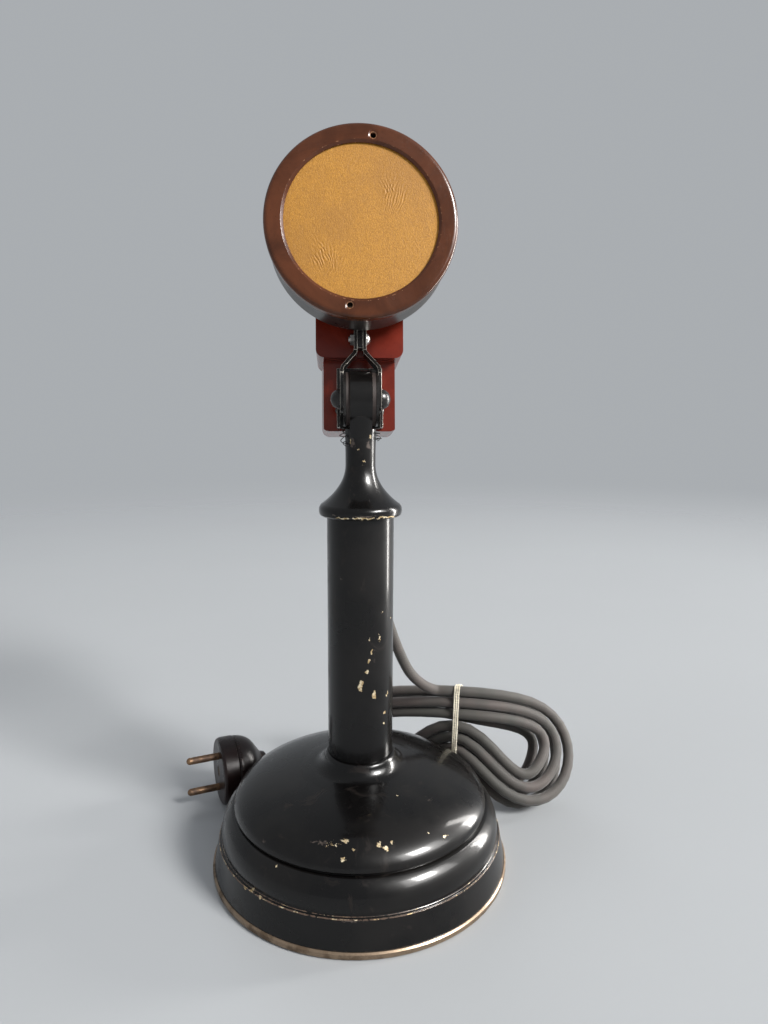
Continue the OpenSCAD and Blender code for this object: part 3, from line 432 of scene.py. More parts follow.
class Finish:
    """A node material being made: most calls add one node and give back its output."""

    def __init__(self, name):
        self.material = bpy.data.materials.new(name)
        self.material.use_nodes = True
        self.tree = self.material.node_tree
        self.shader = next(n for n in self.tree.nodes if n.type == "BSDF_PRINCIPLED")
        self.coords = self.tree.nodes.new("ShaderNodeTexCoord").outputs["Object"]
        self.normal = None

    def put(self, socket, value):
        if isinstance(value, bpy.types.NodeSocket):
            self.tree.links.new(value, socket)
        else:
            socket.default_value = value

    def set(self, **values):
        for name, value in values.items():
            self.put(self.shader.inputs[name.replace("_", " ")], value)

    def math(self, operation, a, b=0.5, c=0.0):
        node = self.tree.nodes.new("ShaderNodeMath")
        node.operation = operation
        for socket, value in zip(node.inputs, (a, b, c)):
            self.put(socket, value)
        return node.outputs[0]

    def vector(self, operation, a, b=(0, 0, 0)):
        node = self.tree.nodes.new("ShaderNodeVectorMath")
        node.operation = operation
        self.put(node.inputs[0], a)
        self.put(node.inputs[1], b)
        return node.outputs["Value" if operation == "LENGTH" else "Vector"]

    def stretched(self, scale, coords=None):
        return self.vector("MULTIPLY", coords or self.coords, scale)

    def noise(self, scale, detail=3.0, roughness=0.55, coords=None, warp=0.0, result="Fac"):
        node = self.tree.nodes.new("ShaderNodeTexNoise")
        self.put(node.inputs["Vector"], coords or self.coords)
        values = {"Scale": scale, "Detail": detail, "Roughness": roughness, "Distortion": warp}
        for name, value in values.items():
            node.inputs[name].default_value = value
        return node.outputs[result]

    def specks(self, scale):
        node = self.tree.nodes.new("ShaderNodeTexVoronoi")
        self.put(node.inputs["Vector"], self.coords)
        node.inputs["Scale"].default_value = scale
        return node.outputs["Distance"]

    def band(self, value, low, high, out_low=0.0, out_high=1.0):
        node = self.tree.nodes.new("ShaderNodeMapRange")
        node.interpolation_type = "SMOOTHSTEP"
        for socket, number in zip(node.inputs, (value, low, high, out_low, out_high)):
            self.put(socket, number)
        return node.outputs[0]

    def blend(self, factor, a, b):
        node = self.tree.nodes.new("ShaderNodeMix")
        node.data_type = "RGBA"
        self.put(node.inputs["Factor"], factor)
        for socket, value in zip([i for i in node.inputs if i.type == "RGBA"], (a, b)):
            self.put(socket, (*value, 1) if isinstance(value, tuple) else value)
        return next(o for o in node.outputs if o.type == "RGBA")

    def over(self, tone, mask, share, colour):
        """Colour laid over tone where the mask is, with share of its full strength."""
        return self.blend(self.math("MULTIPLY", mask, share), tone, colour)

    def bump(self, height, depth):
        """Adds relief whose full height is depth millimetres."""
        node = self.tree.nodes.new("ShaderNodeBump")
        node.inputs["Strength"].default_value = 1
        node.inputs["Distance"].default_value = depth * MM
        self.put(node.inputs["Height"], height)
        if self.normal:
            self.tree.links.new(self.normal, node.inputs["Normal"])
        self.normal = node.outputs["Normal"]
        self.tree.links.new(self.normal, self.shader.inputs["Normal"])

    def attribute(self, name):
        node = self.tree.nodes.new("ShaderNodeAttribute")
        node.attribute_name = name
        return node.outputs["Fac"]

    def uv(self):
        node = self.tree.nodes.new("ShaderNodeUVMap")
        node.uv_map = "UVMap"
        return node.outputs["UV"]

    def edge_wear(self, amount, scale=700):
        """Broken-up mask of the worn edges: amount from 0, none, to 1, all of them."""
        ragged = self.noise(scale, 5, 0.65)
        return self.band(self.math("MULTIPLY_ADD", self.attribute("wear"), 0.6, ragged),
                         1.15 - 0.5 * amount, 1.2 - 0.5 * amount)

    def chips(self, places, soft=0.0):
        """Mask of chips at (x, y, z, half width, half height, fill) in mm, ragged and broken up."""
        stray = self.vector("SUBTRACT", self.noise(380, 5, 0.5, result="Color"), (0.5, 0.5, 0.5))
        stray = self.vector("MULTIPLY", stray, (CHIP_STRAY * MM,) * 3)
        ragged = self.vector("ADD", self.coords, stray)
        depth = 0.0
        for x, y, z, half_w, half_h, fill in places:
            off = self.vector("SUBTRACT", ragged, (x * MM, y * MM, z * MM))
            off = self.vector("MULTIPLY", off, (1 / half_w / MM, 1 / half_w / MM, 1 / half_h / MM))
            inside = self.math("MULTIPLY_ADD", self.vector("LENGTH", off), -fill, fill)
            depth = self.math("MAXIMUM", inside, depth)
        grain = self.noise(600 if soft else 1300, 4, 0.65)
        return self.band(self.math("SUBTRACT", depth, grain), 0.0, soft + CHIP_EDGE)


# Chips and rubbed places on the black stand: degrees round it from the front towards +X, height,
# half width, half height (mm) and how much of the place is bare
LACQUER_CHIPS = [
    (-1, 97, 1.6, 5.0, 1.4), (22, 92, 1.5, 3.2, 1.3), (12, 121, 0.6, 3.4, 1.3), (18, 114, 0.6, 3.2, 1.3),
    (13, 109, 1, 2.2, 1.4), (9, 104, 1.3, 1.4, 1.2), (44, 81, 1, 1.1, 1.2), (43, 76, 1, 1.1, 1.2),
    (38, 133, 0.8, 0.8, 1.1), (62, 128, 0.8, 0.8, 1.1), (51, 90, 1.6, 5, 0.62), (31, 120, 2, 9, 0.58),
    (-9, 42, 3.2, 1.4, 0.8), (-5, 40, 2, 1.2, 0.85), (6, 41, 2.6, 1.6, 0.8), (9, 40, 3, 1.8, 0.85),
    (12, 41, 1.6, 2, 0.8), (-9, 37, 2.8, 1.4, 0.78), (-14, 41, 9, 1.6, 0.56), (-36, 30, 1.6, 1.4, 0.85),
    (-48, 16, 2.2, 1.5, 0.85), (-45, 17, 2.6, 1.2, 0.85), (-40, 16, 2, 1.2, 0.8), (28, 48, 1, 0.9, 1),
    (30, 41, 1, 0.9, 1), (37, 38, 6, 1.4, 0.6), (-26, 179, 6, 0.6, 1.2), (2, 179, 8, 0.7, 1.4),
    (36, 179, 9, 0.6, 1.3), (-27, 189, 2.2, 3.2, 0.66), (-42, 214, 1.6, 3.6, 0.8),
    (32, 216, 1.8, 3, 0.78), (-12, 210, 2.6, 2.2, 0.68), (12, 204, 3, 4, 0.6),
    (121, 142, 1.2, 2.4, 1.1), (-132, 88, 1, 2, 1.2), (-138, 38, 2, 1.2, 0.9), (128, 36, 2.2, 1.2, 0.9),
    (176, 36, 2.8, 1.4, 0.85), (-109, 30, 2.2, 1.6, 0.8), (151, 31, 5, 1.6, 0.62),
]
LACQUER_SCUFFS = [
    (-33, 213, 3.5, 4.5, 0.95), (29, 212, 3.2, 3.8, 0.9), (0, 208, 3, 4, 0.62), (-15, 190, 4, 5, 0.72),
    (6, 180, 15, 1, 0.85), (-38, 180, 8, 1.2, 0.75), (-20, 41, 14, 2.4, 0.66), (-46, 36, 8, 4, 0.6),
    (22, 112, 4, 20, 0.6), (-38, 150, 4, 12, 0.56), (45, 46, 9, 4, 0.56), (180, 100, 6, 20, 0.58),
    (-5, 16, 20, 1.3, 0.7), (138, 33, 9, 4, 0.62), (-149, 36, 12, 3, 0.62),
]


def stand_radius(z):
    """Radius of the black stand at a height, in mm."""
    if z > CAP_TOP:
        return NECK_R + (CAP_R - NECK_R) * max(0, 1 - (z - CAP_TOP) / FLARE_H) ** FLARE_POWER
    if z > COLUMN_TOP:
        return CAP_R
    if z > FOOT_TOP:
        return COLUMN_R
    if z > DOME_Z:
        return DOME_R * (1 - ((z - DOME_Z) / DOME_H) ** DOME_POWER) ** (1 / DOME_POWER)
    if z > SKIRT_TOP:
        return BEAD_R + BEAD_W * math.sqrt(1 - ((z - BEAD_Z) / BEAD_H) ** 2)
    return SKIRT_R - SKIRT_TAPER * z


def on_stand(places):
    """The places with their x, y and z instead of the angle and height."""
    out = []
    for angle, z, half_w, half_h, fill in places:
        a, r = math.radians(angle), stand_radius(z)
        out.append((r * math.sin(a), -r * math.cos(a), z, half_w, half_h, fill))
    return out


def black_lacquer(f):
    """Old stoving lacquer: a thin gloss over a satin ground, rubbed, chipped to the brass and dusty."""
    dull = f.band(f.noise(22, 4, 0.6), 0.42, 0.62)
    rubbed = f.band(f.noise(60, 5, 0.65, f.stretched((1, 1, 0.5)), warp=1.2), 0.58, 0.70)
    dust = f.band(f.specks(820), 0.050, 0.015)
    scuffed = f.chips(on_stand(LACQUER_SCUFFS), 0.25)
    chipped = f.chips(on_stand(LACQUER_CHIPS))
    edges = f.edge_wear(0.34, 520)
    paint = f.blend(dull, (0.0018, 0.0015, 0.0015), (0.0050, 0.0042, 0.0038))
    paint = f.over(paint, rubbed, 0.35, (0.034, 0.027, 0.024))
    paint = f.over(paint, dust, 0.35, (0.30, 0.29, 0.27))
    paint = f.over(paint, scuffed, 0.75, (0.115, 0.092, 0.080))
    paint = f.over(paint, edges, 0.8, (0.120, 0.080, 0.058))
    brass = f.blend(f.band(f.noise(500, 3), 0.40, 0.60), (0.40, 0.29, 0.15), (0.70, 0.60, 0.42))
    bare = f.math("MAXIMUM", chipped, f.edge_wear(0.02, 380))
    f.set(Base_Color=f.blend(bare, paint, brass), Metallic=f.math("MULTIPLY", bare, 0.45), IOR=1.27)
    gloss = f.math("MULTIPLY_ADD", dull, 0.10, 0.26)
    gloss = f.math("ADD", gloss, f.math("MULTIPLY", rubbed, 0.10))
    gloss = f.math("ADD", gloss, f.math("MULTIPLY", scuffed, 0.15))
    f.set(Roughness=f.math("MAXIMUM", gloss, f.math("MULTIPLY", bare, 0.45)))
    worn = f.math("MAXIMUM", f.math("MAXIMUM", bare, scuffed), f.math("MULTIPLY", rubbed, 0.7))
    f.set(Coat_Weight=f.math("MULTIPLY_ADD", worn, -0.42, 0.45), Coat_Roughness=0.11, Coat_IOR=1.42)
    f.bump(f.noise(260, 2, 0.4), 0.009)
    f.bump(f.noise(55, 2, 0.4), 0.030)
    scratches = f.noise(90, 3, 0.6, f.stretched((12, 12, 1)), warp=0.4)
    f.bump(f.band(scratches, 0.62, 0.64), 0.004)
    f.bump(f.math("SUBTRACT", 1.0, bare), 0.05)


def worn_brass(f):
    grain = f.noise(500, 3, 0.6, f.stretched((1, 1, 6)))
    dark = f.band(f.noise(110, 5, 0.62), 0.44, 0.62)
    tone = f.blend(grain, (0.185, 0.130, 0.088), (0.31, 0.235, 0.165))
    f.set(Base_Color=f.over(tone, dark, 0.8, (0.085, 0.056, 0.034)), Metallic=0.7,
          Roughness=f.band(dark, 0, 1, 0.36, 0.58))
    f.bump(grain, 0.01)


def steel(f, dark, light, rust=0.25):
    streaks = f.noise(380, 4, 0.6, f.stretched((1, 1, 0.12)))
    stain = f.band(f.noise(150, 5, 0.65), 0.50, 0.66)
    tone = f.blend(streaks, dark, light)
    tone = f.over(tone, stain, rust, (0.10, 0.055, 0.03))
    bright = tuple(min(1.0, c * 1.25 + 0.08) for c in light)
    f.set(Base_Color=f.blend(f.edge_wear(0.9, 500), tone, bright), Metallic=0.95,
          Roughness=f.band(stain, 0, 1, 0.27, 0.5))
    f.bump(streaks, 0.008)


def plain_steel(f):
    steel(f, (0.33, 0.33, 0.33), (0.46, 0.455, 0.44))


def screw_steel(f):
    steel(f, (0.42, 0.41, 0.39), (0.60, 0.58, 0.55), 0.35)


def dark_steel(f):
    streaks = f.noise(300, 4, 0.6, f.stretched((2, 2, 0.3)))
    # Bevelled edges painted near-white: partly worn bare metal, partly a painted highlight for the glint
    # along the strap edges
    worn = f.band(f.attribute("wear"), 0.3, 0.6, 0, f.band(f.noise(260, 4), 0.3, 0.6, 0.6, 1))
    rubbed = f.band(f.noise(130, 5, 0.7, warp=1.0), 0.60, 0.70)
    tone = f.blend(streaks, (0.010, 0.009, 0.009), (0.028, 0.025, 0.023))
    tone = f.over(tone, rubbed, 0.5, (0.12, 0.10, 0.08))
    # The near-white edge colour is worn metal and painted highlight together
    f.set(Base_Color=f.blend(worn, tone, (0.88, 0.82, 0.72)), Metallic=0.30,
          Roughness=f.math("MULTIPLY_ADD", worn, 0.04, 0.27))
    f.bump(streaks, 0.01)


def cast_iron(f):
    pits = f.noise(420, 5, 0.7)
    f.set(Base_Color=f.blend(pits, (0.035, 0.034, 0.034), (0.10, 0.095, 0.09)), Metallic=0.5, Roughness=0.7)
    f.bump(pits, 0.15)


def green_felt(f):
    fibres = f.noise(1500, 5, 0.75, warp=2.0)
    worn = f.band(f.noise(70, 4, 0.6), 0.45, 0.65)
    tone = f.blend(fibres, (0.02, 0.045, 0.028), (0.06, 0.11, 0.07))
    f.set(Base_Color=f.blend(worn, tone, (0.10, 0.12, 0.085)), Roughness=0.95, Sheen_Weight=0.5,
          Sheen_Roughness=0.6)
    f.bump(fibres, 0.25)


def satin_grey(f):
    cloudy = f.noise(45, 5, 0.6)
    fine = f.noise(900, 2)
    worn = f.edge_wear(0.25, 600)
    tone = f.blend(f.band(cloudy, 0.35, 0.65), (0.022, 0.0185, 0.017), (0.052, 0.043, 0.039))
    f.set(Base_Color=f.blend(worn, tone, (0.35, 0.31, 0.25)), Metallic=0.45,
          Roughness=f.band(cloudy, 0.3, 0.7, 0.26, 0.38))
    f.bump(fine, 0.008)


def moulded(f, deep, light, dusty, gloss):
    """Phenolic moulding: mottled colour, dulled and lighter on its edges, with fine scratches."""
    mottle = f.band(f.noise(48, 5, 0.6, warp=0.8), 0.25, 0.78)
    flecks = f.band(f.noise(650, 3, 0.6), 0.60, 0.72)
    tone = f.blend(mottle, deep, light)
    tone = f.over(tone, flecks, 0.35, tuple(0.6 * c for c in deep))
    tone = f.over(tone, f.edge_wear(-0.04, 500), 0.7, dusty)
    scratches = f.band(f.noise(160, 3, 0.6, f.stretched((9, 9, 1)), warp=0.6), 0.60, 0.64)
    f.set(Base_Color=tone, Roughness=f.band(f.noise(50, 4), 0.3, 0.7, gloss, gloss + 0.10), IOR=1.38)
    f.bump(f.noise(330, 2, 0.4), 0.010)
    f.bump(scratches, 0.006)


def brown_plastic(f):
    moulded(f, (0.055, 0.0165, 0.0062), (0.108, 0.033, 0.0130), (0.42, 0.21, 0.11), 0.18)


def oxblood_plastic(f):
    moulded(f, (0.115, 0.0120, 0.0060), (0.195, 0.0230, 0.0110), (0.48, 0.17, 0.10), 0.15)


def plug_plastic(f):
    moulded(f, (0.0065, 0.0030, 0.0028), (0.015, 0.0062, 0.0056), (0.10, 0.06, 0.045), 0.26)


def gold_cloth(f):
    """Fine crêped silk seen close to: short squirming wrinkles, broken fibres, dust and faint smudges."""
    crimp = f.noise(1150, 3, 0.55, f.stretched((1, 1, 0.62)), warp=1.6)
    grain = f.noise(2300, 4, 0.6, f.stretched((1, 1, 0.6)), warp=0.5)
    fine = f.noise(4200, 2, 0.5, f.stretched((1, 1, 0.4)))
    slub = f.noise(300, 4, 0.65, f.stretched((1, 1, 0.3)))
    cloud = f.noise(26, 4, 0.6)
    tone = f.blend(f.band(grain, 0.30, 0.72), (0.340, 0.146, 0.015), (0.540, 0.252, 0.030))
    tone = f.over(tone, f.band(crimp, 0.54, 0.72), 0.40, (0.64, 0.325, 0.055))
    tone = f.over(tone, f.band(crimp, 0.44, 0.28), 0.40, (0.27, 0.118, 0.018))
    tone = f.over(tone, f.band(fine, 0.52, 0.74), 0.28, (0.66, 0.37, 0.085))
    tone = f.over(tone, f.band(slub, 0.55, 0.72), 0.25, (0.30, 0.135, 0.025))
    tone = f.over(tone, f.band(cloud, 0.46, 0.66), 0.38, (0.30, 0.135, 0.028))
    f.set(Base_Color=tone, Roughness=0.55, Specular_IOR_Level=0.25, Sheen_Weight=0.04, Sheen_Roughness=0.4)
    f.bump(crimp, 0.14)
    f.bump(grain, 0.10)
    f.bump(fine, 0.04)


def clear_mica(f):
    layers = f.noise(130, 4)
    f.set(Base_Color=f.blend(layers, (0.55, 0.47, 0.33), (0.75, 0.68, 0.52)), Roughness=0.15, Metallic=0.1)
    f.bump(layers, 0.01)


def black_carbon(f):
    grit = f.noise(1400, 4, 0.7)
    f.set(Base_Color=f.blend(grit, (0.008, 0.008, 0.009), (0.05, 0.05, 0.055)), Roughness=0.45, Metallic=0.2)
    f.bump(grit, 0.12)


def white_marble(f):
    veins = f.band(f.noise(60, 6, 0.6, warp=2.5), 0.47, 0.53)
    f.set(Base_Color=f.blend(veins, (0.74, 0.73, 0.70), (0.50, 0.49, 0.48)), Roughness=0.35)
    f.bump(f.noise(800, 2), 0.01)


def grey_card(f):
    fibres = f.noise(1100, 4, 0.7)
    f.set(Base_Color=f.blend(fibres, (0.16, 0.15, 0.14), (0.27, 0.26, 0.24)), Roughness=0.9)
    f.bump(fibres, 0.05)


def red_fibre(f):
    fibres = f.noise(900, 5, 0.7, f.stretched((1, 1, 3)))
    worn = f.edge_wear(0.6)
    tone = f.blend(fibres, (0.012, 0.008, 0.007), (0.040, 0.022, 0.017))
    f.set(Base_Color=f.over(tone, worn, 0.5, (0.16, 0.11, 0.08)), Roughness=0.6)
    f.bump(fibres, 0.08)


def wound_coil(f):
    turns = f.noise(2200, 2, 0.5, f.stretched((0.05, 1, 1)))
    f.set(Base_Color=f.blend(turns, (0.10, 0.035, 0.012), (0.35, 0.14, 0.05)), Metallic=0.4, Roughness=0.45)
    f.bump(turns, 0.08)


def black_rubber(f):
    bloom = f.band(f.noise(90, 5, 0.6), 0.45, 0.7)
    f.set(Base_Color=f.blend(bloom, (0.018, 0.017, 0.017), (0.055, 0.05, 0.046)), Roughness=0.62)
    f.bump(f.noise(1200, 3), 0.02)


def grey_textile(f):
    """Rubbed cotton braid over rubber: crossing strands along the cord's own length."""
    place = f.uv()
    split = f.tree.nodes.new("ShaderNodeSeparateXYZ")
    f.put(split.inputs[0], place)
    around = f.math("MULTIPLY", split.outputs[0], 12)
    along = f.math("MULTIPLY", split.outputs[1], 0.62)
    lines = []
    for sign in (1, -1):
        lean = f.math("MULTIPLY_ADD", along, sign, around)
        lines.append(f.math("PINGPONG", lean, 0.5))
    weave = f.math("MULTIPLY", f.math("MAXIMUM", lines[0], lines[1]), 2)
    fuzz = f.noise(1600, 5, 0.75)
    stretch = f.stretched((0, 0.022, 0), place)
    soiled = f.band(f.noise(1, 4, 0.7, stretch), 0.44, 0.62)
    mossy = f.band(f.noise(0.55, 3, 0.7, stretch, warp=0.5), 0.46, 0.60)
    tone = f.blend(weave, (0.020, 0.0165, 0.014), (0.066, 0.056, 0.049))
    tone = f.over(tone, f.band(fuzz, 0.52, 0.75), 0.6, (0.17, 0.15, 0.13))
    tone = f.over(tone, soiled, 0.55, (0.100, 0.074, 0.066))
    tone = f.over(tone, mossy, 0.50, (0.030, 0.034, 0.027))
    f.set(Base_Color=tone, Roughness=f.band(fuzz, 0.3, 0.7, 0.66, 0.88), Sheen_Weight=0.25,
          Sheen_Roughness=0.5)
    f.bump(weave, 0.09)
    f.bump(fuzz, 0.06)


def pale_string(f):
    fibres = f.noise(2400, 4, 0.7, f.stretched((1, 1, 0.5)))
    dirt = f.band(f.noise(120, 4), 0.5, 0.7)
    tone = f.blend(fibres, (0.76, 0.68, 0.50), (0.96, 0.92, 0.79))
    f.set(Base_Color=f.over(tone, dirt, 0.5, (0.34, 0.27, 0.18)), Roughness=0.85,
          Sheen_Weight=0.3)
    f.bump(fibres, 0.08)


def tarnished_brass(f):
    film = f.band(f.noise(140, 5, 0.65), 0.38, 0.62)
    f.set(Base_Color=f.blend(film, (0.22, 0.13, 0.07), (0.075, 0.045, 0.030)), Metallic=0.6,
          Roughness=f.band(film, 0, 1, 0.35, 0.6))
    f.bump(f.noise(600, 3), 0.015)


FINISHES = {maker.__name__: maker for maker in (
    black_lacquer, worn_brass, plain_steel, screw_steel, dark_steel, cast_iron, green_felt, satin_grey,
    brown_plastic, oxblood_plastic, plug_plastic, gold_cloth, clear_mica, black_carbon, white_marble,
    grey_card, red_fibre, wound_coil, black_rubber, grey_textile, pale_string, tarnished_brass)}
MADE = {}


def material(slot):
    if slot not in MADE:
        finish = Finish(slot)
        FINISHES[slot](finish)
        MADE[slot] = finish.material
    return MADE[slot]


# Camera, solved from the photograph's ellipses

CAMERA_AT = (-12.1, -337.4, 229.0)
CAMERA_TURN = 4
CAMERA_DOWN = 8.37
CAMERA_ROLL = 0.3
FOCAL_PIXELS = 700
LONG_SIDE_PIXELS = 1024
SENSOR = 36
NEAREST_SEEN = 0.01


def camera():
    data = bpy.data.cameras.new("camera")
    data.sensor_width = SENSOR
    data.lens = FOCAL_PIXELS / LONG_SIDE_PIXELS * SENSOR
    data.clip_start = NEAREST_SEEN
    obj = placed("camera", data)
    aim = turned(-CAMERA_TURN, "Z") @ turned(90 - CAMERA_DOWN, "X") @ turned(CAMERA_ROLL, "Z")
    obj.matrix_world = Matrix.Translation(Vector(CAMERA_AT) * MM) @ aim
    bpy.context.scene.camera = obj


# Cord and plug

def cord():
    """The whole lead, with all that is on it."""
    lead, route = cord_route()
    line = tube("cord", route, CORD_R, 16, "stand", "grey_textile")
    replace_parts(line, "cord_lead", "cord_hank", "cord_tail")
    relief = whipping(lead)
    plug() + tie() + [relief]


WHIPPING_LENGTH = 22
WHIPPING_R = 4.6
WHIPPING_TAPER = 1.25
WHIPPING_TURN = 1.1
WHIPPING_RIB = 0.12


def whipping(lead):
    """Black ribbed winding, a little tapered, round the cord where it leaves the column."""
    def size(length):
        rib = WHIPPING_RIB * math.sin(2 * math.pi * length / WHIPPING_TURN)
        return WHIPPING_R - WHIPPING_TAPER * length / WHIPPING_LENGTH + rib

    fine = curve_through(lead)
    short = []
    total = 0.0
    for a, b in zip(fine, fine[1:]):
        if total > WHIPPING_LENGTH:
            break
        short.append(a)
        total += (b - a).length
    # Its first points lie inside the grommet
    return tube("cord_whipping", short[2:], size, 20, "stand", "black_rubber")


def plug():
    """Round two-pin plug."""
    return [softened("plug_disc", "plug_base", 0.8, 3), softened("plug_body", "plug_cap", 0.6, 3),
            softened("plug_prongs", "plug_pins", 0.25, finish="tarnished_brass"),
            softened("plug_fixing", "plug_screw", 0.2)]


# String round the hank

TIE_TURNS = 3
TIE_STEPS = 90
TIE_PAST_MIDDLE = 1.2
TIE_CROSSING = 0.12
STRING_D = 1.1
STRING_OFF = 0.65
PLY_R = 0.34
PLY_OFF = 0.27
PLY_HALF_TWIST = 1.6
KNOT_R = 0.5
KNOT_SIZE = 1.15
KNOT_STEPS = 72
KNOT_WAVE = 0.38
KNOT_DEEP = 0.45
KNOT_OFF = 0.5
END_LENGTH = 13
END_FROM = 1.2
END_SPREAD = 2.6
END_BOW = 1.4


def tie_plane(u):
    """Turn from the plane across the hank at u to the model's axes."""
    way = hank_way(0)
    aim = Matrix.Rotation(HANK_TURN + math.atan2(way.y, way.x), 3, "Z")
    return aim @ Matrix.Rotation(hank_lean(u) - math.pi / 2, 3, "X")


def tie_hull():
    """Line round the strands where the string crosses them, as (across, up) points."""
    turn = tie_plane(TIE_PAST_MIDDLE).transposed()
    strands = [turn @ (hank_point(s) - HANK_AT) for s in range(0, HANK_END + 1, 2)]
    dots = []
    for p, q in zip(strands, strands[1:]):
        if (p.x - TIE_PAST_MIDDLE) * (q.x - TIE_PAST_MIDDLE) <= 0 and p.x != q.x:
            c = p.lerp(q, (TIE_PAST_MIDDLE - p.x) / (q.x - p.x))
            dots += [Vector(d) for d in arc(c.y, c.z, CORD_R + STRING_OFF, 0, 350, 35)]
    hull = [dots[k] for k in geometry.convex_hull_2d(dots)]
    first = max(range(len(hull)), key=lambda k: hull[k].x)
    return hull[first:] + hull[:first]


def tie_line():
    """Centreline of the string: three turns side by side, whose ends cross over them to the knot."""
    hull = tie_hull()
    middle = sum(hull, Vector((0, 0))) / len(hull)
    sides = [(b - a).length for a, b in zip(hull, hull[1:] + hull[:1])]
    line = []
    count = TIE_TURNS * TIE_STEPS
    for k in range(count + 1):
        turn = TIE_TURNS * k / count
        way = (turn % 1) * sum(sides)
        j = 0
        while way > sides[j] and j < len(sides) - 1:
            way -= sides[j]
            j += 1
        p = hull[j].lerp(hull[(j + 1) % len(hull)], min(way / sides[j], 1))
        over = 1 - min(turn, TIE_TURNS - turn, TIE_CROSSING) / TIE_CROSSING
        p += (p - middle).normalized() * STRING_D * over
        u = TIE_PAST_MIDDLE + (turn - TIE_TURNS / 2) * STRING_D * (1 - over)
        line.append(HANK_AT + tie_plane(u) @ Vector((u, p.x, p.y)))
    return line


def string(name, line, ply):
    """One ply of the two-ply string along a line."""
    path = []
    length = 0.0
    for k, p in enumerate(line):
        way = way_at(line, k)
        side = way.orthogonal().normalized()
        angle = length / PLY_HALF_TWIST * math.pi + ply * math.pi
        path.append(p + PLY_OFF * (math.cos(angle) * side + math.sin(angle) * way.cross(side)))
        if k < len(line) - 1:
            length += (line[k + 1] - p).length
    return tube("%s_%d" % (name, ply + 1), path, PLY_R, 8, "stand", "pale_string")


def tie():
    """Two-ply string round the waist, with a knot and two short ends behind."""
    line = tie_line()
    back = line[0] - HANK_AT
    out = unit((back.x * 0.2, back.y, 0))
    knot_at = line[0] + KNOT_OFF * out
    # A trefoil, seen from behind
    knot = []
    for k in range(KNOT_STEPS + 1):
        a = math.radians(360 / KNOT_STEPS * k)
        swing = KNOT_SIZE * (1 - KNOT_WAVE + KNOT_WAVE * math.cos(3 * a))
        knot.append(knot_at + Vector((swing * math.cos(2 * a), 0, swing * math.sin(2 * a)))
                    + out * (KNOT_OFF + KNOT_DEEP * math.sin(3 * a)))
    ends = []
    for side in (-1, 1):
        end = [knot_at + Vector((side * END_FROM, 0, -END_LENGTH * t)) + out * END_BOW * math.sin(2.4 * t)
               + Vector((side * END_SPREAD * t, 0, 0)) for t in (0, 0.15, 0.3, 0.5, 0.75, 1)]
        ends.append(curve_through(end))
    pieces = []
    for ply in range(2):
        pieces.append(string("string_ply", line, ply))
        pieces.append(string("string_end_left", ends[0], ply))
        pieces.append(string("string_end_right", ends[1], ply))
    pieces.append(tube("string_knot", knot, KNOT_R, 8, "stand", "pale_string"))
    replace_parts(pieces[0], "hank_tie")
    return pieces


# Stand

# Outlines of turned pieces, as (r, z) or (r, z, radius of its round) corners
RIM = [(73.3, 0.3), (74.5, 0.3), (75, 0.9), (75, 2.8), (74.3, 3.5), (70.5, 3.5), (70.5, 2.1), (73.3, 2.1)]
SKIRT = [(73.4, 2.6), (74, 3.5), (71.6, 16.6), (69.8, 16.9), (69.8, 15)]
COLUMN = [(COLUMN_R, COLUMN_BOTTOM), (COLUMN_R, COLUMN_TOP), (COLUMN_BORE_R, COLUMN_TOP),
          (COLUMN_BORE_R, COLUMN_BOTTOM)]
# Points of the foot's line, between bead and dome and at the column, as (r, z, wear)
GROOVE = [(62.9, 30.5, 0), (62.6, 30.8, 0), (62.9, 31.4, 0)]
FOOT_END = (16.6, 57.0, 0)
BEAD_ARC = (-10, 62)
DOME_ARC = 65
DOME_STEPS = 30
FILLET_AT = (25.2, 57.05)
FILLET_R = 7.5
FILLET_ARC = (270, 190)
FOOT_SKIN = 1.0
# Piece, node, edge round (mm) and its segments
STAND_PIECES = [("neck", "neck_cap", 0.35, 2), ("lead_grommet", "cord_grommet", 0.4, 3),
                ("felt", "felt_pad", 0.3, 2)]


def stand():
    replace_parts(lathe("foot_rim", rounded(RIM, 0.25), "stand", "worn_brass", 192), "base_rim")
    foot = lathe("foot_dome", skin(foot_line(), FOOT_SKIN), "stand", "black_lacquer", 256)
    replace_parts(foot, "base_shell")
    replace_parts(lathe("upright", rounded(COLUMN, 0.2), "stand", "black_lacquer", 96), "column_tube")
    for row in STAND_PIECES:
        softened(*row)
    fluff()


def foot_line():
    """Outer line of the foot, from the skirt's lower edge up to the column."""
    bead = [(BEAD_R + BEAD_W * x, BEAD_Z + BEAD_H * y, 0) for x, y in arc(0, 0, 1, *BEAD_ARC, 18)]
    dome = []
    for k in range(DOME_STEPS + 1):
        a = math.radians(DOME_ARC * k / DOME_STEPS)
        r = DOME_R * math.cos(a) ** (2 / DOME_POWER)
        dome.append((r, DOME_Z + DOME_H * math.sin(a) ** (2 / DOME_POWER), 0))
    fillet = [(r, z, 0) for r, z in arc(*FILLET_AT, FILLET_R, *FILLET_ARC, 10)]
    # The rounds at the back of the skirt are left out
    skirt = rounded(SKIRT, 0.35)[1:-6]
    return skirt + bead + GROOVE + dome + fillet + [FOOT_END]


FLUFF = 11
FLUFF_LEFT = 7
FLUFF_Z = 216.5
FLUFF_R = 0.2
FLUFF_SEED = 4
FLUFF_ROOT = 0.4
FLUFF_TURN = (55, 105)
FLUFF_RISE = (-4.5, 1.5)
FLUFF_REACH = (1.2, 3.6)
# How far out, in shares of the fibre's reach, and how far along each point of a fibre lies
FLUFF_CURL = [(0, 0), (0.7, 0.5), (1, 1.6), (0.6, 2.8), (0.25, 3.4)]


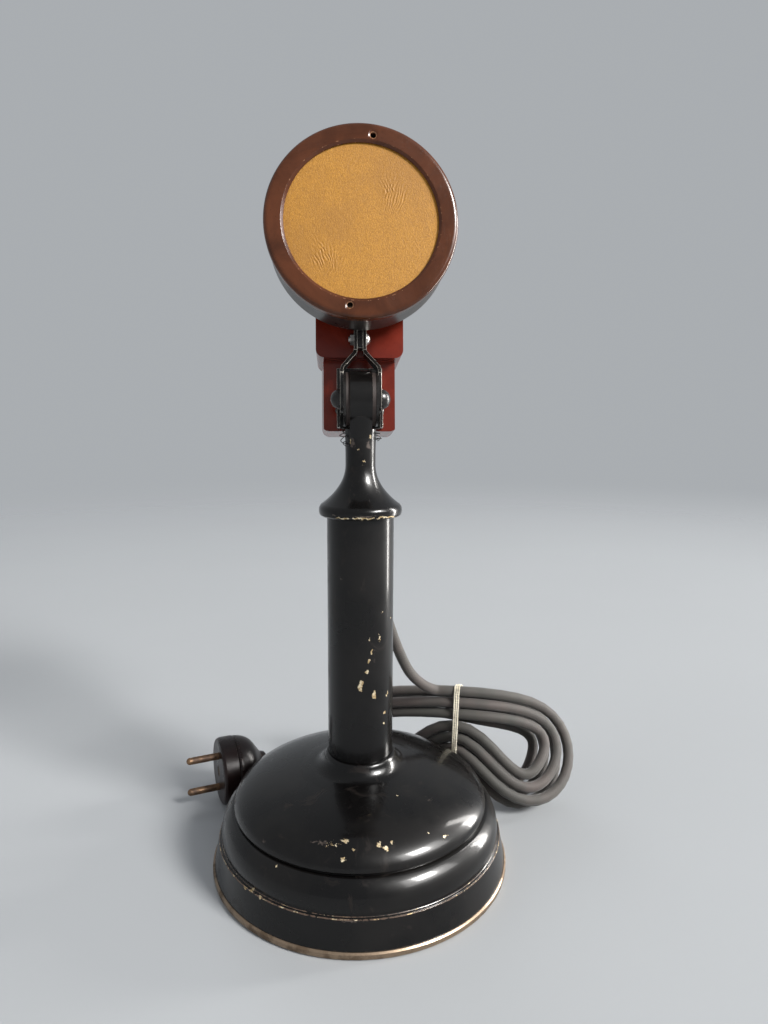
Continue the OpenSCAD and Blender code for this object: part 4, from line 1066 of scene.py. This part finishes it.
def fluff():
    """Dark fibres caught on the neck just under the joint."""
    draw = random.Random(FLUFF_SEED)
    for k in range(FLUFF):
        side = -1 if k < FLUFF_LEFT else 1
        a = math.radians(side * draw.uniform(*FLUFF_TURN))
        out = Vector((math.sin(a), -math.cos(a), 0))
        start = out * (NECK_R - FLUFF_ROOT) + Vector((0, 0, FLUFF_Z + draw.uniform(*FLUFF_RISE)))
        run = Vector((0, 0, draw.uniform(-1, 1))) + out.cross(Vector((0, 0, 1))) * draw.uniform(-1, 1)
        reach = draw.uniform(*FLUFF_REACH)
        points = [start + out * share * reach + run * along for share, along in FLUFF_CURL]
        tube("fluff_%d" % (k + 1), curve_through(points), FLUFF_R, 5, "stand", "black_rubber")


# Head

RING = [(43.3, 5), (43.3, 0, 2.2), (35.6, 0, 0.35), (34.4, 0.9, 0.2), (34.4, 1.4, 0.1), (39.6, 1.4, 0),
        (39.6, 5, 0.2)]
BARREL = [(42.7, 5.05), (42.7, 25, 1.6), (24, 25, 0.3), (24, 23.6, 0.2), (41.2, 23.6, 0.6), (41.2, 5.05)]
# Piece, node, edge round (mm) and its segments
HEAD_PIECES = [
    ("case", "transformer_box", 1.3, 4), ("case_lid", "box_cover", 0.9, 3),
    ("strap_left", "fork_arm_left", 0.3, 2), ("strap_right", "fork_arm_right", 0.3, 2),
    ("fork_plate", "fork_bracket", 0.3, 2), ("tilt_bolt", "pivot_bolt", 0.15, 2),
    ("tilt_nut", "pivot_nut", 0.15, 2), ("clamp_screws", "pinch_screws", 0.15, 2),
    ("rivets", "bracket_rivets", 0.15, 2), ("lid_screws", "cover_screws", 0.15, 2),
    ("hanger", "head_bracket", 0.15, 2),
]


def head():
    moulded_ring = lathe("moulded_ring", rounded(RING, 0.2, 6), "head", "brown_plastic", 192, CAPSULE)
    spanner_holes(moulded_ring)
    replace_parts(moulded_ring, "front_ring")
    barrel = lathe("barrel", rounded(BARREL, 0.25, 5), "head", "satin_grey", 160, CAPSULE)
    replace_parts(barrel, "barrel_housing")
    cloth()
    for row in HEAD_PIECES:
        softened(*row)


SPANNER_R = 37.8
SPANNER_TURN = 8
SPANNER_HOLE_R = 1.3
SPANNER_DEEP = 2.4
SPANNER_SINK = 1.1
SPANNER_SHARP = 40
# Outline of the cutter for one hole and its countersink, from in front of the ring's face
SPANNER_CUTTER = [
    (0.01, -1, 0), (SPANNER_HOLE_R + SPANNER_SINK, -1, 0), (SPANNER_HOLE_R + SPANNER_SINK, -0.3, 0),
    (SPANNER_HOLE_R, 0.55, 0), (SPANNER_HOLE_R, SPANNER_DEEP, 0), (0.01, SPANNER_DEEP, 0),
]


def spanner_holes(ring):
    """Two blind pin holes, countersunk a little, cut into the ring's face."""
    for half_turn in (0, 180):
        a = math.radians(90 + SPANNER_TURN + half_turn)
        at = Vector((SPANNER_R * math.cos(a), SPANNER_R * math.sin(a), 0))
        place = CAPSULE @ Matrix.Translation(at * MM)
        cutter = lathe("cutter", SPANNER_CUTTER, "head", "brown_plastic", 24, place)
        cut = ring.modifiers.new("hole", "BOOLEAN")
        cut.operation = "DIFFERENCE"
        cut.object = cutter
        cut.solver = "EXACT"
        settle(ring)
        bpy.data.objects.remove(cutter)
        middle = place.translation
        # Bare edge round the hole
        for vert, wear in zip(ring.data.vertices, ring.data.attributes["wear"].data):
            if (vert.co - middle).length < (SPANNER_HOLE_R + 0.2) * MM:
                wear.value = 2
    ring.data.set_sharp_from_angle(angle=math.radians(SPANNER_SHARP))


CLOTH_R = 36.1
CLOTH_DEPTH = 1.65
CLOTH_RINGS = 150
CLOTH_STEPS = 420
CLOTH_CROWN = 0.25
# Centre x and y, half width and half height, spacing, lean, spread and height of each patch of creases
CREASES = [(14.8, 12.5, 5.0, 7.5, 1.25, -16, 0.9, 0.15), (11.5, 16, 3.2, 5.0, 1.35, 20, 0.6, 0.09),
           (-16.5, -17, 5.5, 5.5, 1.25, 14, 1.0, 0.13), (-12, -20.5, 4.2, 5.5, 1.35, -22, 0.8, 0.11),
           (-19, -12, 3.0, 5.0, 1.5, 40, 0.8, 0.08), (23, -10, 3, 6, 1.9, 28, 0.6, 0.04),
           (-4, 25, 5, 4, 1.8, -30, 0.8, 0.035)]
CREASE_FAN = 40
CREASE_WANDER = 1.1


def crease_height(x, y):
    """Patches of small creases, wandering and broken up so that no two are alike."""
    height = 0.0
    stray = noise.noise(Vector((x * 0.30, y * 0.22, 3.1)))
    broken = noise.noise(Vector((x * 0.55, y * 0.35, 8.7)))
    for cx, cy, half_w, half_h, spacing, lean, spread, rise in CREASES:
        a = math.radians(lean)
        dx, dy = x - cx, y - cy
        across = dx * math.cos(a) + dy * math.sin(a)
        along = -dx * math.sin(a) + dy * math.cos(a)
        fade = math.exp(-((across / half_w) ** 2 + (along / half_h) ** 2) ** 1.5)
        fan = across / (1 + spread * along / CREASE_FAN) + CREASE_WANDER * stray
        wave = math.sin(2 * math.pi * fan / spacing + 0.8 * math.sin(along / 1.9))
        height += rise * fade * (wave * max(0, 0.75 + 1.3 * broken) + 0.3)
    return height


def cloth():
    """Stretched disc of cloth, a little crowned, with its patches of creases."""
    verts = []
    for ring in range(CLOTH_RINGS + 1):
        r = CLOTH_R * ring / CLOTH_RINGS
        for k in range(CLOTH_STEPS if ring else 1):
            a = 2 * math.pi * k / CLOTH_STEPS
            x, y = r * math.cos(a), r * math.sin(a)
            inner = 1 - (r / CLOTH_R) ** 2
            lift = CLOTH_CROWN * inner + crease_height(x, y) * min(1, 3 * inner)
            verts.append(CAPSULE @ (Vector((x, -y, CLOTH_DEPTH - lift)) * MM))
    faces = [(0, 1 + (k + 1) % CLOTH_STEPS, 1 + k) for k in range(CLOTH_STEPS)]
    for ring in range(1, CLOTH_RINGS):
        start, after = 1 + (ring - 1) * CLOTH_STEPS, 1 + ring * CLOTH_STEPS
        for k in range(CLOTH_STEPS):
            n = (k + 1) % CLOTH_STEPS
            faces.append((start + k, start + n, after + n, after + k))
    obj = piece("cloth", verts, faces, "head", "gold_cloth")
    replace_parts(obj, "front_cloth")


JOINT_LEAD_R = 1.8
NECK_MOUTH = Vector((0, 0, 211))
NECK_MOUTH_UP = 20
NECK_STEPS = (4, 7, 10.5)
BOX_BUSH = Vector((0, 24.8, -15))
BUSH_STEPS = ((-6.6, -5.6), (-2.4, -6.4), (0, -3), (0, 0))


def crossing_lead():
    """Two-core lead from the neck up to the box, attached to neither body."""
    up = math.radians(NECK_MOUTH_UP)
    points = [NECK_MOUTH + reach * Vector((0, math.cos(up), math.sin(up))) for reach in NECK_STEPS]
    for y, z in BUSH_STEPS:
        points.append(HEAD @ ((BOX_BUSH + Vector((0, y, z))) * MM) / MM)
    obj = tube("joint_lead", curve_through(points, 8), JOINT_LEAD_R, 16, None, slot_of("head_lead"))
    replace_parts(obj, "head_lead")
    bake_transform(obj)


# Everything else keeps its CAD shape and gets its finish

def finish_nodes():
    for node, obj in frame["nodes"].items():
        obj.data.materials.clear()
        obj.data.materials.append(material(slot_of(node)))


# Studio

BACKDROP_TONE = (0.40, 0.42, 0.44)
AMBIENT = 0.32
FLOOR_R = 2.4
FLOOR_DROP = 0.02
FADE_FROM = 0.55
FADE_TO = 2.1
FLOOR_TONE = (0.40, 0.415, 0.43)
FLOOR_MOTTLE = 1.06
WORLD_TONE = (0.93, 0.96, 1)
LAMP_AIM = (0, 0, 0.15)
# Name, degrees from the front towards +X, reach and height (m), size (m), power (W), tone, what it lights
LAMPS = [
    ("right_strip", 104, 4.8, 1.09, (0.40, 2.48), 160, (1, 0.98, 0.95), "all"),
    ("key_window", 52, 4.4, 3.17, (1.50, 1.60), 400, (1, 0.985, 0.96), "all"),
    ("key_glint", 54, 4.4, 3.35, (1.35, 1.30), 340, (1, 0.985, 0.96), "gloss"),
    ("window_glow", 55, 4.5, 3.10, (3.8, 3.0), 320, (1, 0.985, 0.97), "gloss"),
    ("near_glint", 106, 0.55, 0.29, (0.07, 0.58), 3.4, (1, 0.97, 0.93), "gloss"),
    ("back_fill", 196, 4.8, 2.9, (3.2, 3.2), 66, (0.95, 0.97, 1), "matt"),
    ("left_fill", -70, 4.8, 2.5, (3.2, 3.2), 50, (0.93, 0.96, 1), "matt"),
]


def lamp(name, at, size, watts, tone, lights):
    data = bpy.data.lights.new(name, "AREA")
    data.shape = "RECTANGLE"
    data.size, data.size_y = size
    data.energy = watts
    data.color = tone
    obj = placed(name, data)
    obj.location = at
    aim = (0, 0, at[2]) if lights == "gloss" else LAMP_AIM
    obj.rotation_euler = (Vector(aim) - Vector(at)).to_track_quat("-Z", "Y").to_euler()
    obj.visible_camera = False
    obj.visible_diffuse = lights != "gloss"
    obj.visible_glossy = lights != "matt"


def floor():
    """Pale disc that fades into the backdrop."""
    mesh = bpy.data.meshes.new("floor")
    rim = [(x, y, -FLOOR_DROP * MM) for x, y in arc(0, 0, FLOOR_R, 0, 355, 71)]
    mesh.from_pydata(rim, [], [tuple(range(len(rim)))])
    obj = placed("floor", mesh)
    f = Finish("pale_floor")
    lighter = tuple(c * FLOOR_MOTTLE for c in FLOOR_TONE)
    f.set(Base_Color=f.blend(f.noise(3, 2), FLOOR_TONE, lighter), Roughness=0.9, Specular_IOR_Level=0)
    f.set(Alpha=f.band(f.vector("LENGTH", f.coords), FADE_FROM, FADE_TO, 1, 0))
    mesh.materials.append(f.material)


def surroundings():
    """World whose even light differs from the backdrop that the camera and reflections see."""
    world = bpy.data.worlds.new("studio")
    bpy.context.scene.world = world
    world.use_nodes = True
    tree = world.node_tree
    link = tree.links.new
    light = next(n for n in tree.nodes if n.type == "BACKGROUND")
    light.inputs["Color"].default_value = (*WORLD_TONE, 1)
    light.inputs["Strength"].default_value = AMBIENT
    seen = tree.nodes.new("ShaderNodeBackground")
    seen.inputs["Color"].default_value = (*BACKDROP_TONE, 1)
    path = tree.nodes.new("ShaderNodeLightPath")
    looking = path.outputs["Is Camera Ray"]
    for ray in ("Is Glossy Ray", "Is Transmission Ray"):
        either = tree.nodes.new("ShaderNodeMath")
        either.operation = "MAXIMUM"
        link(looking, either.inputs[0])
        link(path.outputs[ray], either.inputs[1])
        looking = either.outputs[0]
    mix = tree.nodes.new("ShaderNodeMixShader")
    link(looking, mix.inputs["Fac"])
    link(light.outputs[0], mix.inputs[1])
    link(seen.outputs[0], mix.inputs[2])
    out = next(n for n in tree.nodes if n.type == "OUTPUT_WORLD")
    link(mix.outputs[0], out.inputs["Surface"])


def studio():
    floor()
    for name, azimuth, reach, height, *rest in LAMPS:
        a = math.radians(azimuth)
        lamp(name, (reach * math.sin(a), -reach * math.cos(a), height), *rest)
    surroundings()
    bpy.context.scene.view_settings.view_transform = "Standard"


camera()
finish_nodes()
cord()
stand()
head()
crossing_lead()
studio()
